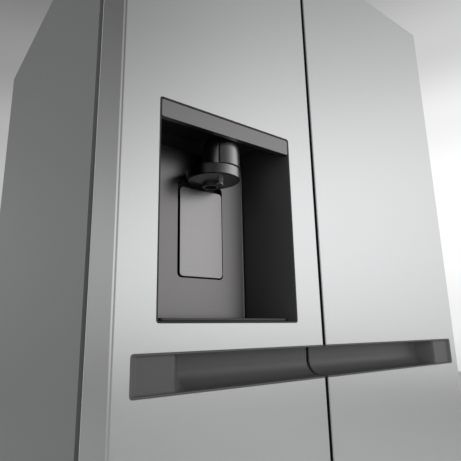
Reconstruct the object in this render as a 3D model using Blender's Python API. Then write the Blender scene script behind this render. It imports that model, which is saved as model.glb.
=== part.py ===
"""Side by side refrigerator: freezer door with a dispenser on the left, fridge door on the right.

Metres, +Z up, the doors face -Y. The origin is on the floor under the middle of the object.
"""
import math

import bmesh
import bpy
from mathutils import Matrix, Vector

# Overall sizes
WIDTH = 0.912
DEPTH = 0.857
CASE_TOP = 1.740
CASE_BOTTOM = 0.075
DOOR_OVER_CASE = 0.025
DOOR_TOP = CASE_TOP + DOOR_OVER_CASE
DOOR_BOTTOM = 0.098
COVER_OVER_CASE = 0.045
COVER_TOP = CASE_TOP + COVER_OVER_CASE

# Sheets, walls and clearances
GAP = 0.0004
SHEET = 0.0025
SKIN = 0.0015
LINER_WALL = 0.003
SIDE_FOAM = 0.055
BACK_FOAM = 0.070
TOP_FOAM = 0.055
FLOOR_FOAM = 0.075

# Doors
DOOR_DEPTH = 0.100
DOOR_STANDOFF = 0.0135
DOOR_BODY = DOOR_DEPTH - DOOR_STANDOFF
DOOR_INSET = 0.002
DOOR_GAP = 0.008
EDGE_RADIUS = 0.004
HINGE_IN = 0.018
HINGE_BACK = 0.035
HINGE_PIN_RADIUS = 0.005
DYKE_START = 0.060
DYKE_WIDTH = 0.025
DYKE_DEPTH = 0.040
SWING_ROOM = 0.024
GASKET_WIDTH = 0.018
BIN_DEPTH = 0.092
BIN_WALL = 0.003
DRAWER_GAP = 0.030
DRAWER_HEIGHT = 0.190
SHELF_CLEAR = 0.004
SHELF_THICK = 0.007
SHELF_PITCH = 0.300
FILTER_Y = 0.060

# Divider and machine space
DIVIDER = 0.060
STEP_Y = 0.150
STEP_Z = 0.330
MACHINE_Y = 0.205
MACHINE_TOP = 0.285
COVER_SLOTS = 9
COVER_SLOT_PITCH = 0.070
COVER_SLOT_WIDTH = 0.040
COMPRESSOR_X = 0.250
CONDENSER_FINS = 14
EVAPORATOR_FINS = 14
COIL_SPACE = 0.070
FAN_BLADES = 5
GLAND_WIDTH = 0.036
GLAND_HEIGHT = 0.028

# Dispenser, measured from the left door's outer edge and the dispenser's own lower edge
DISPENSER_FLOOR = 0.955
DISPENSER_LEFT_MARGIN = 0.0654
DISPENSER_RIGHT_MARGIN = 0.0641
DISPENSER_WIDTH = 0.2805
DISPENSER_HEIGHT = 0.3388
DISPENSER_DEPTH = 0.103
DISPENSER_WALL = 0.0025
FASCIA_HEIGHT = 0.0313
FASCIA_DEPTH = 0.010
SPOUT_BACK = 0.0526
RING_RADIUS = 0.048
RING_LOW = 0.2425
RING_HIGH = 0.2627
CHUTE_STEP = 0.015
DOME_RADIUS = 0.033
DOME_SHIFT = (0.012, -0.008)
DOME_SIDE = 0.030
DOME_RISE = 0.034
DOME_STEPS = 6
ARM_WIDTH = 0.030
CHUTE_WALL = 0.012
NOZZLE_CLEAR = 0.0011
NOZZLE_TURN = -59.74
NOZZLE_RADIUS = 0.006
TRAY_SLOTS = 12
TRAY_SLOT_WIDTH = 0.010
PADDLE_WIDTH = 0.093
PADDLE_LOW = 0.077
PADDLE_HIGH = 0.236
PADDLE_THICK = 0.006
PADDLE_CLEAR = 0.0095
TRAY_HEIGHT = 0.004
TRAY_FLOOR = 0.0015

# Pocket handles, below the dispenser's lower edge
POCKET_LOW = -0.0943
POCKET_HEIGHT = 0.0551
POCKET_END = 0.031
POCKET_RAMP = 0.080
POCKET_DEPTH = 0.040
POCKET_WALL = 0.0025

# Door bins: floor height and depth upwards of each
FREEZER_BINS = ((0.560, 0.110), (1.360, 0.110))
FRIDGE_BINS = ((0.560, 0.140), (0.920, 0.120), (1.280, 0.110))

# Base
FOOT_RADIUS = 0.020
ROLLER_RADIUS = 0.024
ROLLER_WIDTH = 0.022
AXLE_RADIUS = 0.004
ROLLER_IN = 0.080
STUD_RADIUS = 0.006
BASE_HEIGHT = 0.016
BASE_RAIL = 0.054
GRILLE_SLOTS = 4
GRILLE_PITCH = 0.012
GRILLE_CLEAR = 0.014

# Places worked out from the sizes above
FRONT = -DEPTH / 2
BACK = DEPTH / 2
CASE_FRONT = FRONT + DOOR_DEPTH
DOOR_BACK = FRONT + DOOR_BODY
LINER_FACE = DOOR_BACK + GAP + LINER_WALL
DOOR_EDGE = WIDTH / 2 - DOOR_INSET
DISPENSER_X = (DISPENSER_LEFT_MARGIN - DOOR_EDGE, DISPENSER_LEFT_MARGIN + DISPENSER_WIDTH - DOOR_EDGE)
DOOR_SPLIT = DISPENSER_X[1] + DISPENSER_RIGHT_MARGIN + DOOR_GAP / 2
LEFT_DOOR = (-DOOR_EDGE, DOOR_SPLIT - DOOR_GAP / 2)
RIGHT_DOOR = (DOOR_SPLIT + DOOR_GAP / 2, DOOR_EDGE)
FREEZER_X = (-WIDTH / 2 + SIDE_FOAM, DOOR_SPLIT - DIVIDER / 2)
FRIDGE_X = (DOOR_SPLIT + DIVIDER / 2, WIDTH / 2 - SIDE_FOAM)
FLOOR_Z = CASE_BOTTOM + FLOOR_FOAM
CEILING_Z = CASE_TOP - TOP_FOAM
LINER_FRONT = CASE_FRONT + SHEET + GAP
LINER_BACK = BACK - BACK_FOAM
BIN_BACK = LINER_FACE + GAP + BIN_DEPTH
DRAWER_FRONT = BIN_BACK + DRAWER_GAP
MACHINE_MIDDLE = (MACHINE_Y + BACK - SHEET) / 2
SPOUT_X = sum(DISPENSER_X) / 2
SPOUT_Y = FRONT + SPOUT_BACK
DISPENSER_TOP = DISPENSER_FLOOR + DISPENSER_HEIGHT
RECESS_TOP = DISPENSER_TOP - DISPENSER_WALL
RECESS_BACK = FRONT + DISPENSER_DEPTH
POCKET_Z = (DISPENSER_FLOOR + POCKET_LOW, DISPENSER_FLOOR + POCKET_LOW + POCKET_HEIGHT)


def clear_scene():
    for old in list(bpy.data.objects):
        bpy.data.objects.remove(old, do_unlink=True)


def material(name, colour, roughness, metallic=0.0):
    made = bpy.data.materials.new(name)
    made.use_nodes = True
    shader = made.node_tree.nodes["Principled BSDF"]
    shader.inputs["Base Color"].default_value = (*colour, 1.0)
    shader.inputs["Roughness"].default_value = roughness
    shader.inputs["Metallic"].default_value = metallic
    return made


def add_object(name, bm, finish=None, place=(0, 0, 0), smooth=False):
    """Turn a bmesh into a linked object whose origin is at place."""
    bmesh.ops.recalc_face_normals(bm, faces=bm.faces)
    mesh = bpy.data.meshes.new(name)
    bm.to_mesh(mesh)
    bm.free()
    made = bpy.data.objects.new(name, mesh)
    bpy.context.collection.objects.link(made)
    made.location = place
    if finish:
        mesh.materials.append(finish)
    if smooth:
        mesh.shade_smooth()
        mesh.set_sharp_from_angle(angle=math.radians(35))
    return made


def box_mesh(low, high):
    """A box as a bmesh around its own middle, and that middle."""
    middle = (Vector(low) + Vector(high)) / 2
    size = Vector(high) - Vector(low)
    bm = bmesh.new()
    bmesh.ops.create_cube(bm, size=1.0)
    bmesh.ops.scale(bm, vec=size, verts=bm.verts)
    return bm, middle


def box(name, low, high, finish=None, radius=0.0, steps=2, upright_only=False):
    """A box between two corners, with its edges rounded if a radius is given."""
    bm, middle = box_mesh(low, high)
    if radius:
        edges = list(bm.edges)
        if upright_only:
            edges = [e for e in edges if abs(e.verts[0].co.z - e.verts[1].co.z) > radius]
        bmesh.ops.bevel(bm, geom=edges, offset=radius, segments=steps, affect="EDGES", profile=0.5)
    return add_object(name, bm, finish, middle)


def prism(name, outline, axis, start, end, finish=None):
    """A flat outline swept along X, Y or Z; its points are the other two coordinates in order."""
    order = {"X": (2, 0, 1), "Y": (0, 2, 1), "Z": (0, 1, 2)}[axis]
    bm = bmesh.new()
    ring = []
    for a, b in outline:
        flat = (a, b, start)
        ring.append(bm.verts.new([flat[i] for i in order]))
    face = bm.faces.new(ring)
    sweep = Vector([(0, 0, end - start)[i] for i in order])
    grown = bmesh.ops.extrude_face_region(bm, geom=[face])
    moved = [v for v in grown["geom"] if isinstance(v, bmesh.types.BMVert)]
    bmesh.ops.translate(bm, vec=sweep, verts=moved)
    return add_object(name, bm, finish)


def turned(name, profile, place, axis="Z", finish=None, sides=24):
    """A closed profile of (radius, height) points turned round an axis through place."""
    bm = bmesh.new()
    rings = []
    for radius, height in profile:
        if radius < 1e-6:
            rings.append([bm.verts.new((0, 0, height))])
            continue
        ring = []
        for i in range(sides):
            angle = 2 * math.pi * i / sides
            ring.append(bm.verts.new((radius * math.cos(angle), radius * math.sin(angle), height)))
        rings.append(ring)
    for low, high in zip(rings, rings[1:] + rings[:1]):
        join_rings(bm, low, high, sides)
    turn = {"Z": Matrix(), "X": Matrix.Rotation(math.pi / 2, 4, "Y"),
            "Y": Matrix.Rotation(math.pi / 2, 4, "X")}
    bmesh.ops.transform(bm, matrix=turn[axis], verts=bm.verts)
    return add_object(name, bm, finish, place, smooth=True)


def join_rings(bm, low, high, sides):
    """Faces between two rings of a turned shape; a ring of one point is a tip."""
    if len(low) == 1 and len(high) == 1:
        return
    for i in range(sides):
        after = (i + 1) % sides
        if len(low) == 1:
            bm.faces.new((low[0], high[after], high[i]))
        elif len(high) == 1:
            bm.faces.new((low[i], low[after], high[0]))
        else:
            bm.faces.new((low[i], low[after], high[after], high[i]))


def rod(name, place, radius, length, axis="Z", finish=None, sides=24):
    """A plain cylinder centred on place."""
    half = length / 2
    return turned(name, [(0, -half), (radius, -half), (radius, half), (0, half)], place, axis, finish,
                  sides)


def combine(target, tool, operation):
    """Cut with, or add, a helper object that the finished model leaves out."""
    tool.hide_render = True
    tool.display_type = "WIRE"
    change = target.modifiers.new(tool.name, "BOOLEAN")
    change.operation = operation
    change.solver = "EXACT"
    change.object = tool


def cut(target, tool):
    combine(target, tool, "DIFFERENCE")


def add(target, tool):
    combine(target, tool, "UNION")


def cut_box(target, low, high):
    cut(target, box(f"{target.name}_cut_{len(target.modifiers)}", low, high))


def add_box(target, low, high):
    add(target, box(f"{target.name}_add_{len(target.modifiers)}", low, high))


def tub(name, low, high, wall, finish, open_side="+Z"):
    """A box-shaped tub: five walls, open on one side."""
    made = box(name, low, high, finish)
    inner_low = Vector(low) + Vector((wall, wall, wall))
    inner_high = Vector(high) - Vector((wall, wall, wall))
    index = "XYZ".index(open_side[1])
    if open_side[0] == "+":
        inner_high[index] = high[index] + wall
    else:
        inner_low[index] = low[index] - wall
    cut_box(made, inner_low, inner_high)
    return made


def pivot(name, place):
    """An empty on a joint's axis."""
    made = bpy.data.objects.new(name, None)
    bpy.context.collection.objects.link(made)
    made.location = place
    return made


def hang(parent, *pieces):
    """Parent pieces to a pivot and keep them where they are."""
    for piece in pieces:
        piece.parent = parent
        piece.matrix_parent_inverse = Matrix.Translation(-parent.location)


# Case

def liner_outline(grow, front):
    """Side outline of a compartment with the step over the machine space, grown outwards."""
    return [
        (front, FLOOR_Z - grow),
        (STEP_Y + grow, FLOOR_Z - grow),
        (STEP_Y + grow, STEP_Z - grow),
        (LINER_BACK + grow, STEP_Z - grow),
        (LINER_BACK + grow, CEILING_Z + grow),
        (front, CEILING_Z + grow),
    ]


def make_liner(name, span, finish):
    """A moulded compartment: a stepped tub open to the front."""
    outer = liner_outline(LINER_WALL, LINER_FRONT)
    inner = liner_outline(0.0, LINER_FRONT - LINER_WALL)
    made = prism(name, outer, "X", span[0] - LINER_WALL, span[1] + LINER_WALL, finish)
    cut(made, prism(f"{name}_room", inner, "X", span[0], span[1]))
    return made


def make_case(paint, foam, mullion_paint):
    half = WIDTH / 2
    case = box("outer_case", (-half, CASE_FRONT, CASE_BOTTOM), (half, BACK - SHEET - GAP, CASE_TOP), paint)
    inside = half - SHEET
    below = CASE_BOTTOM - SHEET
    cut_box(case, (-inside, CASE_FRONT + SHEET, below), (inside, BACK, CASE_TOP - SHEET))
    front_low = (FREEZER_X[0], CASE_FRONT - SHEET, FLOOR_Z)
    cut_box(case, front_low, (FRIDGE_X[1], CASE_FRONT + 2 * SHEET, CEILING_Z))

    deep = BACK - SHEET - 2 * GAP
    body = box("insulation_foam", (-inside + GAP, LINER_FRONT, CASE_BOTTOM + GAP),
               (inside - GAP, deep, CASE_TOP - SHEET - GAP), foam)
    grow = LINER_WALL + GAP
    for span in (FREEZER_X, FRIDGE_X):
        outline = liner_outline(grow, LINER_FRONT - SHEET)
        cut(body, prism(f"foam_room_{span[0]:.2f}", outline, "X", span[0] - grow, span[1] + grow))
    low = (-inside, MACHINE_Y, CASE_BOTTOM - SHEET)
    cut_box(body, low, (inside, BACK, MACHINE_TOP))

    edge = GAP
    box("centre_mullion", (FREEZER_X[1] + edge, CASE_FRONT, FLOOR_Z + edge),
        (FRIDGE_X[0] - edge, CASE_FRONT + SHEET, CEILING_Z - edge), mullion_paint)


def make_back(paint, dark):
    box("back_panel", (-WIDTH / 2, BACK - SHEET, MACHINE_TOP + 2 * GAP), (WIDTH / 2, BACK, CASE_TOP), paint)
    cover = box("machine_cover", (-WIDTH / 2, BACK - SHEET, CASE_BOTTOM), (WIDTH / 2, BACK, MACHINE_TOP),
                dark)
    for i in range(COVER_SLOTS):
        middle = (i - (COVER_SLOTS - 1) / 2) * COVER_SLOT_PITCH
        cut_box(cover, (middle - COVER_SLOT_WIDTH / 2, BACK - 2 * SHEET, CASE_BOTTOM + 0.050),
                (middle + COVER_SLOT_WIDTH / 2, BACK + SHEET, MACHINE_TOP - 0.040))
    gland_x = WIDTH / 2 - 0.090
    gland_z = CASE_BOTTOM + 0.060
    cut_box(cover, (gland_x - GLAND_WIDTH / 2 - GAP, BACK - 2 * SHEET, gland_z - GAP),
            (gland_x + GLAND_WIDTH / 2 + GAP, BACK + SHEET, gland_z + GLAND_HEIGHT + GAP))
    gland = box("power_gland", (gland_x - GLAND_WIDTH / 2, BACK - 0.025, gland_z),
                (gland_x + GLAND_WIDTH / 2, BACK, gland_z + GLAND_HEIGHT), dark)
    cut_box(gland, (gland_x - GLAND_WIDTH / 2 + 0.004, BACK - 0.018, gland_z + 0.004),
            (gland_x + GLAND_WIDTH / 2 - 0.004, BACK + 0.004, gland_z + GLAND_HEIGHT - 0.004))


def make_base(steel, rubber, plastic):
    """Base frame with roller forks and axles, levelling feet, rear rollers and the front grille."""
    half = WIDTH / 2 - 0.004
    top = CASE_BOTTOM - GAP
    front = CASE_FRONT + 0.010
    frame = box("base_frame", (-half, front, top - BASE_HEIGHT), (half, BACK - 0.004, top), steel)
    well = half - BASE_RAIL
    cut_box(frame, (-well, front + BASE_RAIL, top - 2 * BASE_HEIGHT), (well, MACHINE_Y, top + GAP))
    cut_box(frame, (-well, MACHINE_Y + 0.020, top - 2 * BASE_HEIGHT), (well, BACK - BASE_RAIL, top - 0.003))
    for side in (-1, 1):
        word = "left" if side < 0 else "right"
        x = side * (half - 0.030)
        roller_y = BACK - ROLLER_IN
        for offset in (-1, 1):
            ear = x + offset * (ROLLER_WIDTH / 2 + 0.004)
            add_box(frame, (ear - 0.002, roller_y - 0.012, ROLLER_RADIUS - 0.010),
                    (ear + 0.002, roller_y + 0.012, top - BASE_HEIGHT / 2))
        add(frame, rod(f"axle_{word}", (x, roller_y, ROLLER_RADIUS), AXLE_RADIUS, ROLLER_WIDTH + 0.010, "X",
                       None, 12))
        bore = AXLE_RADIUS + GAP
        wheel = [(bore, -ROLLER_WIDTH / 2), (ROLLER_RADIUS, -ROLLER_WIDTH / 2),
                 (ROLLER_RADIUS, ROLLER_WIDTH / 2), (bore, ROLLER_WIDTH / 2)]
        made = turned(f"rear_roller_{word}", wheel, (x, roller_y, ROLLER_RADIUS), "X", rubber, 32)
        foot_y = front + 0.028
        cut(frame, rod(f"foot_hole_{word}", (x, foot_y, top), STUD_RADIUS + GAP, 0.060, "Z", None, 16))
        foot = [(0, 0), (FOOT_RADIUS - 0.002, 0), (FOOT_RADIUS, 0.002), (FOOT_RADIUS, 0.010),
                (STUD_RADIUS, 0.014), (STUD_RADIUS, top - 0.006), (0, top - 0.006)]
        turned(f"levelling_foot_{word}", foot, (x, foot_y, 0), "Z", plastic, 20)
    grille_half = WIDTH / 2 - 0.004
    grille_front = CASE_FRONT - 0.030
    grille = box("base_grille", (-grille_half, grille_front, 0.014),
                 (grille_half, grille_front + 0.012, DOOR_BOTTOM - GRILLE_CLEAR), plastic)
    for i in range(GRILLE_SLOTS):
        low = 0.026 + i * GRILLE_PITCH
        cut_box(grille, (-grille_half + 0.090, grille_front - 0.004, low),
                (grille_half - 0.090, grille_front + 0.020, low + GRILLE_PITCH / 2))


def make_hinges(steel, plastic):
    """Top brackets with pins and covers, and bottom brackets with pins, one of each per door."""
    pin_y = FRONT + HINGE_BACK
    for side, word in ((-1, "left"), (1, "right")):
        pin_x = side * (DOOR_EDGE - HINGE_IN)
        low_x = min(pin_x - side * 0.060, pin_x + side * 0.012)
        high_x = max(pin_x - side * 0.060, pin_x + side * 0.012)
        arm_low = DOOR_TOP + 0.0015
        top = box(f"top_hinge_{word}", (low_x, pin_y - 0.012, arm_low),
                  (high_x, CASE_FRONT + 0.100, arm_low + 0.004), steel)
        add_box(top, (low_x, CASE_FRONT + 0.012, CASE_TOP + GAP),
                (high_x, CASE_FRONT + 0.100, arm_low + 0.002))
        add(top, rod(f"top_pin_{word}", (pin_x, pin_y, arm_low - 0.006), HINGE_PIN_RADIUS, 0.016, "Z", None,
                     16))
        shell_low = DOOR_TOP + 0.0008
        cover = box(f"hinge_cover_{word}", (low_x - 0.005, pin_y - 0.018, shell_low),
                    (high_x + 0.005, CASE_FRONT + 0.112, COVER_TOP), plastic, 0.003, 2)
        add_box(cover, (low_x - 0.0035, CASE_FRONT + 0.005, CASE_TOP + GAP),
                (high_x + 0.0035, CASE_FRONT + 0.1105, COVER_TOP - 0.007))
        cut_box(cover, (low_x - 0.001, pin_y - 0.014, shell_low - 0.010),
                (high_x + 0.001, CASE_FRONT + 0.106, COVER_TOP - 0.003))
        cut_box(cover, (low_x - 0.0005, CASE_FRONT + 0.009, CASE_TOP - 0.004),
                (high_x + 0.0005, CASE_FRONT + 0.1045, COVER_TOP - 0.008))
        base_top = DOOR_BOTTOM - 0.002
        under = box(f"bottom_hinge_{word}", (low_x, pin_y - 0.012, base_top - 0.004),
                    (high_x, CASE_FRONT - GAP, base_top), steel)
        add_box(under, (low_x, CASE_FRONT - GAP - 0.004, CASE_BOTTOM),
                (high_x, CASE_FRONT - GAP, base_top + 0.020))
        add(under, rod(f"bottom_pin_{word}", (pin_x, pin_y, base_top + 0.004), HINGE_PIN_RADIUS, 0.014, "Z",
                       None, 16))


# Cooling

def make_fan(name, place, radius, thick, finish):
    """A hub with flat blades, turning about Y."""
    fan = rod(name, place, radius * 0.32, thick, "Y", finish, 16)
    for i in range(FAN_BLADES):
        blade, _ = box_mesh((0, -0.001, -radius * 0.20), (radius * 0.72, 0.001, radius * 0.20))
        pitch = Matrix.Rotation(math.radians(32), 4, "X")
        turn = Matrix.Rotation(2 * math.pi * i / FAN_BLADES, 4, "Y")
        slide = Matrix.Translation((radius * 0.62, 0, 0))
        bmesh.ops.transform(blade, matrix=turn @ slide @ pitch, verts=blade.verts)
        add(fan, add_object(f"{name}_blade_{i}", blade, None, place))
    return fan


def make_cooling(steel, alloy, plastic, dark):
    """Compressor, condenser and fan low at the back; evaporator and fan behind the freezer's back cover."""
    base = CASE_BOTTOM
    shell = [(0, 0), (0.045, 0), (0.045, 0.008), (0.075, 0.020), (0.080, 0.045), (0.080, 0.100),
             (0.068, 0.140), (0.040, 0.158), (0, 0.162)]
    turned("compressor", shell, (COMPRESSOR_X, MACHINE_MIDDLE, base), "Z", dark, 24)
    low = Vector((-WIDTH / 2 + 0.060, MACHINE_MIDDLE - 0.070, base + 0.004))
    high = Vector((-0.110, MACHINE_MIDDLE + 0.070, MACHINE_TOP - 0.030))
    make_fins("condenser", low, high, CONDENSER_FINS, steel)
    make_fan("condenser_fan", ((high.x + COMPRESSOR_X - 0.080) / 2, MACHINE_MIDDLE, base + 0.095), 0.070,
             0.024, plastic)

    room = FREEZER_X[1] - FREEZER_X[0]
    middle = sum(FREEZER_X) / 2
    cover_y = LINER_BACK - COIL_SPACE
    make_fins("evaporator", Vector((FREEZER_X[0] + 0.020, cover_y + 0.012, STEP_Z + 0.030)),
              Vector((FREEZER_X[1] - 0.020, LINER_BACK - 0.006, STEP_Z + 0.400)), EVAPORATOR_FINS, alloy)
    cover = box("evaporator_cover", (FREEZER_X[0] + GAP, cover_y, STEP_Z + GAP),
                (FREEZER_X[1] - GAP, cover_y + LINER_WALL, CEILING_Z - GAP), plastic)
    fan_z = STEP_Z + 0.560
    cut(cover, rod("evaporator_mouth", (middle, cover_y, fan_z), room * 0.20, 0.030, "Y", None, 24))
    for i in range(4):
        slot_z = STEP_Z + 0.050 + i * 0.018
        cut_box(cover, (FREEZER_X[0] + 0.060, cover_y - 0.010, slot_z),
                (FREEZER_X[1] - 0.060, cover_y + 0.020, slot_z + 0.009))
    make_fan("evaporator_fan", (middle, cover_y + 0.030, fan_z), 0.055, 0.020, plastic)


def make_fins(name, low, high, count, finish):
    """A finned coil block: plates standing on a common header."""
    header = 0.008
    pitch = (high.x - low.x) / count
    outline = [(low.x, low.y), (high.x, low.y)]
    for i in range(count, 0, -1):
        right = low.x + i * pitch
        left = right - pitch * 0.45
        outline.append((right, high.y))
        outline.append((left, high.y))
        outline.append((left, low.y + header))
        outline.append((right - pitch, low.y + header))
    return prism(name, outline, "Z", low.z, high.z, finish)


# Inside the compartments

def make_shelf(name, span, z, back, finish):
    """A glass shelf in a moulded rim, as one plate with rounded corners and a raised back edge."""
    low = (span[0] + SHELF_CLEAR, DRAWER_FRONT + 0.020, z)
    high = (span[1] - SHELF_CLEAR, back - SHELF_CLEAR, z + SHELF_THICK)
    shelf = box(name, low, high, finish, 0.002, 1)
    add_box(shelf, (low[0] + 0.005, high[1] - 0.010, z + 0.0015),
            (high[0] - 0.005, high[1] - 0.004, z + 0.022))
    return shelf


def make_drawer(name, span, z, height, back, finish):
    """An open drawer with a grip lip along its front."""
    low = (span[0] + SHELF_CLEAR, DRAWER_FRONT, z)
    high = (span[1] - SHELF_CLEAR, back, z + height)
    drawer = tub(name, low, high, BIN_WALL, finish)
    add_box(drawer, (low[0] + 0.050, low[1] + BIN_WALL / 2, high[2] - 0.012),
            (high[0] - 0.050, low[1] + 0.018, high[2] - 0.001))
    return drawer


def make_inside(glass, clear, white, light, plastic):
    freezer_back = LINER_BACK - COIL_SPACE
    step_back = STEP_Y - 0.006
    lower_z = FLOOR_Z + 0.004
    lower_height = STEP_Z - FLOOR_Z - 0.016
    upper_z = STEP_Z + 0.008
    for word, span, back in (("freezer_drawer", FREEZER_X, freezer_back),
                             ("crisper", FRIDGE_X, LINER_BACK)):
        make_drawer(f"{word}_lower", span, lower_z, lower_height, step_back, clear)
        make_drawer(f"{word}_upper", span, upper_z, DRAWER_HEIGHT, back - 0.010, clear)
    cover_z = upper_z + DRAWER_HEIGHT + 0.006
    for i, z in enumerate((cover_z, cover_z + 0.300)):
        make_shelf(f"freezer_shelf_{i + 1}", FREEZER_X, z, freezer_back, glass)
    make_shelf("crisper_cover", FRIDGE_X, cover_z, LINER_BACK, glass)
    for i in range(2):
        make_shelf(f"fridge_shelf_{i + 1}", FRIDGE_X, cover_z + SHELF_PITCH * (i + 1), LINER_BACK, glass)

    room = (FREEZER_X[0] + 0.020, FREEZER_X[1] - 0.020)
    maker_low = CEILING_Z - 0.150
    tub("ice_bin", (room[0], DRAWER_FRONT, maker_low - 0.190),
        (room[1], freezer_back - 0.040, maker_low - 0.010),
        BIN_WALL, clear)
    maker = box("ice_maker", (room[0] + 0.010, DRAWER_FRONT + 0.080, maker_low),
                (room[1] - 0.010, freezer_back - 0.050, maker_low + 0.080), white, 0.004, 2)
    for i in range(5):
        start = DRAWER_FRONT + 0.100 + i * 0.068
        cut_box(maker, (room[0] + 0.080, start, maker_low + 0.040),
                (room[1] - 0.080, start + 0.056, maker_low + 0.090))

    for word, span in (("freezer", FREEZER_X), ("fridge", FRIDGE_X)):
        middle = sum(span) / 2
        box(f"light_{word}", (middle - 0.110, CASE_FRONT + 0.060, CEILING_Z - 0.010),
            (middle + 0.110, CASE_FRONT + 0.130, CEILING_Z - GAP), light, 0.003, 2)
    filter_r = 0.030
    profile = [(0, -0.110), (filter_r * 0.8, -0.110), (filter_r, -0.100), (filter_r, 0.100),
               (filter_r * 0.8, 0.110), (0, 0.110)]
    made = turned("water_filter", profile,
                  (FRIDGE_X[1] - filter_r - 0.014, FILTER_Y, CEILING_Z - filter_r - 0.014), "Y",
                  plastic, 24)
    cut_box(made, (FRIDGE_X[1] - 2 * filter_r, FILTER_Y - 0.130, CEILING_Z - filter_r - 0.018),
            (FRIDGE_X[1] - 0.020, FILTER_Y - 0.104, CEILING_Z - filter_r - 0.010))


# Doors

def from_hinge(side, start, end):
    """X range between two distances from a door's hinged edge."""
    if side < 0:
        return LEFT_DOOR[0] + start, LEFT_DOOR[0] + end
    return RIGHT_DOOR[1] - end, RIGHT_DOOR[1] - start


def make_door_shell(word, side, span, steel):
    """Folded outer skin: a front and four sides, open at the back."""
    shell = box(f"{word}_door_shell", (span[0], FRONT, DOOR_BOTTOM), (span[1], DOOR_BACK, DOOR_TOP),
                steel, EDGE_RADIUS, 3, True)
    cut_box(shell, (span[0] + SKIN, FRONT + SKIN, DOOR_BOTTOM + SKIN),
            (span[1] - SKIN, DOOR_BACK + SKIN, DOOR_TOP - SKIN))
    pin = (side * (DOOR_EDGE - HINGE_IN), FRONT + HINGE_BACK)
    for z in (DOOR_TOP, DOOR_BOTTOM):
        cut(shell, rod(f"{word}_pin_hole_{z:.1f}", (*pin, z), HINGE_PIN_RADIUS + 2 * GAP, 4 * SKIN, "Z",
                       None, 16))
    return shell


def make_door_liner(word, side, span, white):
    """Inner door panel with two upright dykes that the bins hang between."""
    back = DOOR_BACK + GAP
    liner = box(f"{word}_door_liner", (span[0] + 0.001, back, DOOR_BOTTOM + 0.001),
                (span[1] - 0.001, LINER_FACE, DOOR_TOP - 0.001), white)
    for low_x, high_x in dyke_spans(side, span):
        foot = 0.004
        outline = [(low_x, back + 0.001), (high_x, back + 0.001), (high_x, LINER_FACE + DYKE_DEPTH - foot),
                   (high_x - foot, LINER_FACE + DYKE_DEPTH), (low_x + foot, LINER_FACE + DYKE_DEPTH),
                   (low_x, LINER_FACE + DYKE_DEPTH - foot)]
        add(liner, prism(f"{word}_dyke_{low_x:.2f}", outline, "Z", FLOOR_Z + 0.020, CEILING_Z - 0.030))
    return liner


def dyke_spans(side, span):
    """The two dykes' X ranges: one by the hinge, one by the free edge."""
    width = span[1] - span[0]
    free = width - free_margin(side)
    near = from_hinge(side, DYKE_START, DYKE_START + DYKE_WIDTH)
    far = from_hinge(side, free - DYKE_WIDTH, free)
    return sorted((near, far))


def free_margin(side):
    """Distance from a door's free edge to its far dyke, past the divider and with room to swing."""
    if side < 0:
        return LEFT_DOOR[1] - FREEZER_X[1] + SWING_ROOM
    return FRIDGE_X[0] - RIGHT_DOOR[0] + SWING_ROOM


def make_gasket(word, side, rubber):
    """Magnetic seal: a square ring between the door liner and the case front."""
    room = FREEZER_X if side < 0 else FRIDGE_X
    seat = 0.003
    low = (room[0] - seat, LINER_FACE + GAP, FLOOR_Z - seat)
    high = (room[1] + seat, CASE_FRONT - GAP, CEILING_Z + seat)
    grow = Vector((GASKET_WIDTH, 0, GASKET_WIDTH))
    ring = box(f"{word}_gasket", Vector(low) - grow, Vector(high) + grow, rubber)
    cut_box(ring, (low[0], low[1] - 0.010, low[2]), (high[0], high[1] + 0.010, high[2]))
    return ring


def pocket_outline(side, span, grow, ahead=0.0, past=0.0):
    """Plan of a pocket handle, open at the centre gap and slanted at its hinge end."""
    end = from_hinge(side, POCKET_END, POCKET_END + POCKET_RAMP)
    near, deep = (end[0], end[1]) if side < 0 else (end[1], end[0])
    edge = (span[1] if side < 0 else span[0]) - side * past
    floor_y = FRONT + POCKET_DEPTH + grow
    near += side * grow
    points = [(near, FRONT), (edge, FRONT - ahead), (edge, floor_y), (deep + side * grow / 2, floor_y)]
    if ahead:
        points.insert(1, (near, FRONT - ahead))
    return points


def make_pocket(word, side, span, shell, dark):
    """The sunk grip: a slot cut in the skin, and a moulded trough seated in it."""
    low_z, high_z = POCKET_Z
    wall = POCKET_WALL
    trough = prism(f"{word}_pocket", pocket_outline(side, span, wall), "Z", low_z, high_z, dark)
    room = pocket_outline(side, span, 0.0, 0.010, 0.010)
    cut(trough, prism(f"{word}_pocket_room", room, "Z", low_z + wall, high_z - wall))
    seat = pocket_outline(side, span, wall + GAP, 0.010, 0.010)
    cut(shell, prism(f"{word}_pocket_seat", seat, "Z", low_z - GAP, high_z + GAP))
    return trough


def make_bins(word, side, span, heights, clear):
    """Open bins between the dykes, one for each pair of floor height and depth upwards."""
    near, far = dyke_spans(side, span)
    bins = []
    for i, (z, height) in enumerate(heights):
        made = tub(f"{word}_door_bin_{i + 1}", (near[1] + 0.002, LINER_FACE + GAP, z),
                   (far[0] - 0.002, BIN_BACK, z + height), BIN_WALL, clear)
        bins.append(made)
    return bins


# Dispenser

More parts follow.
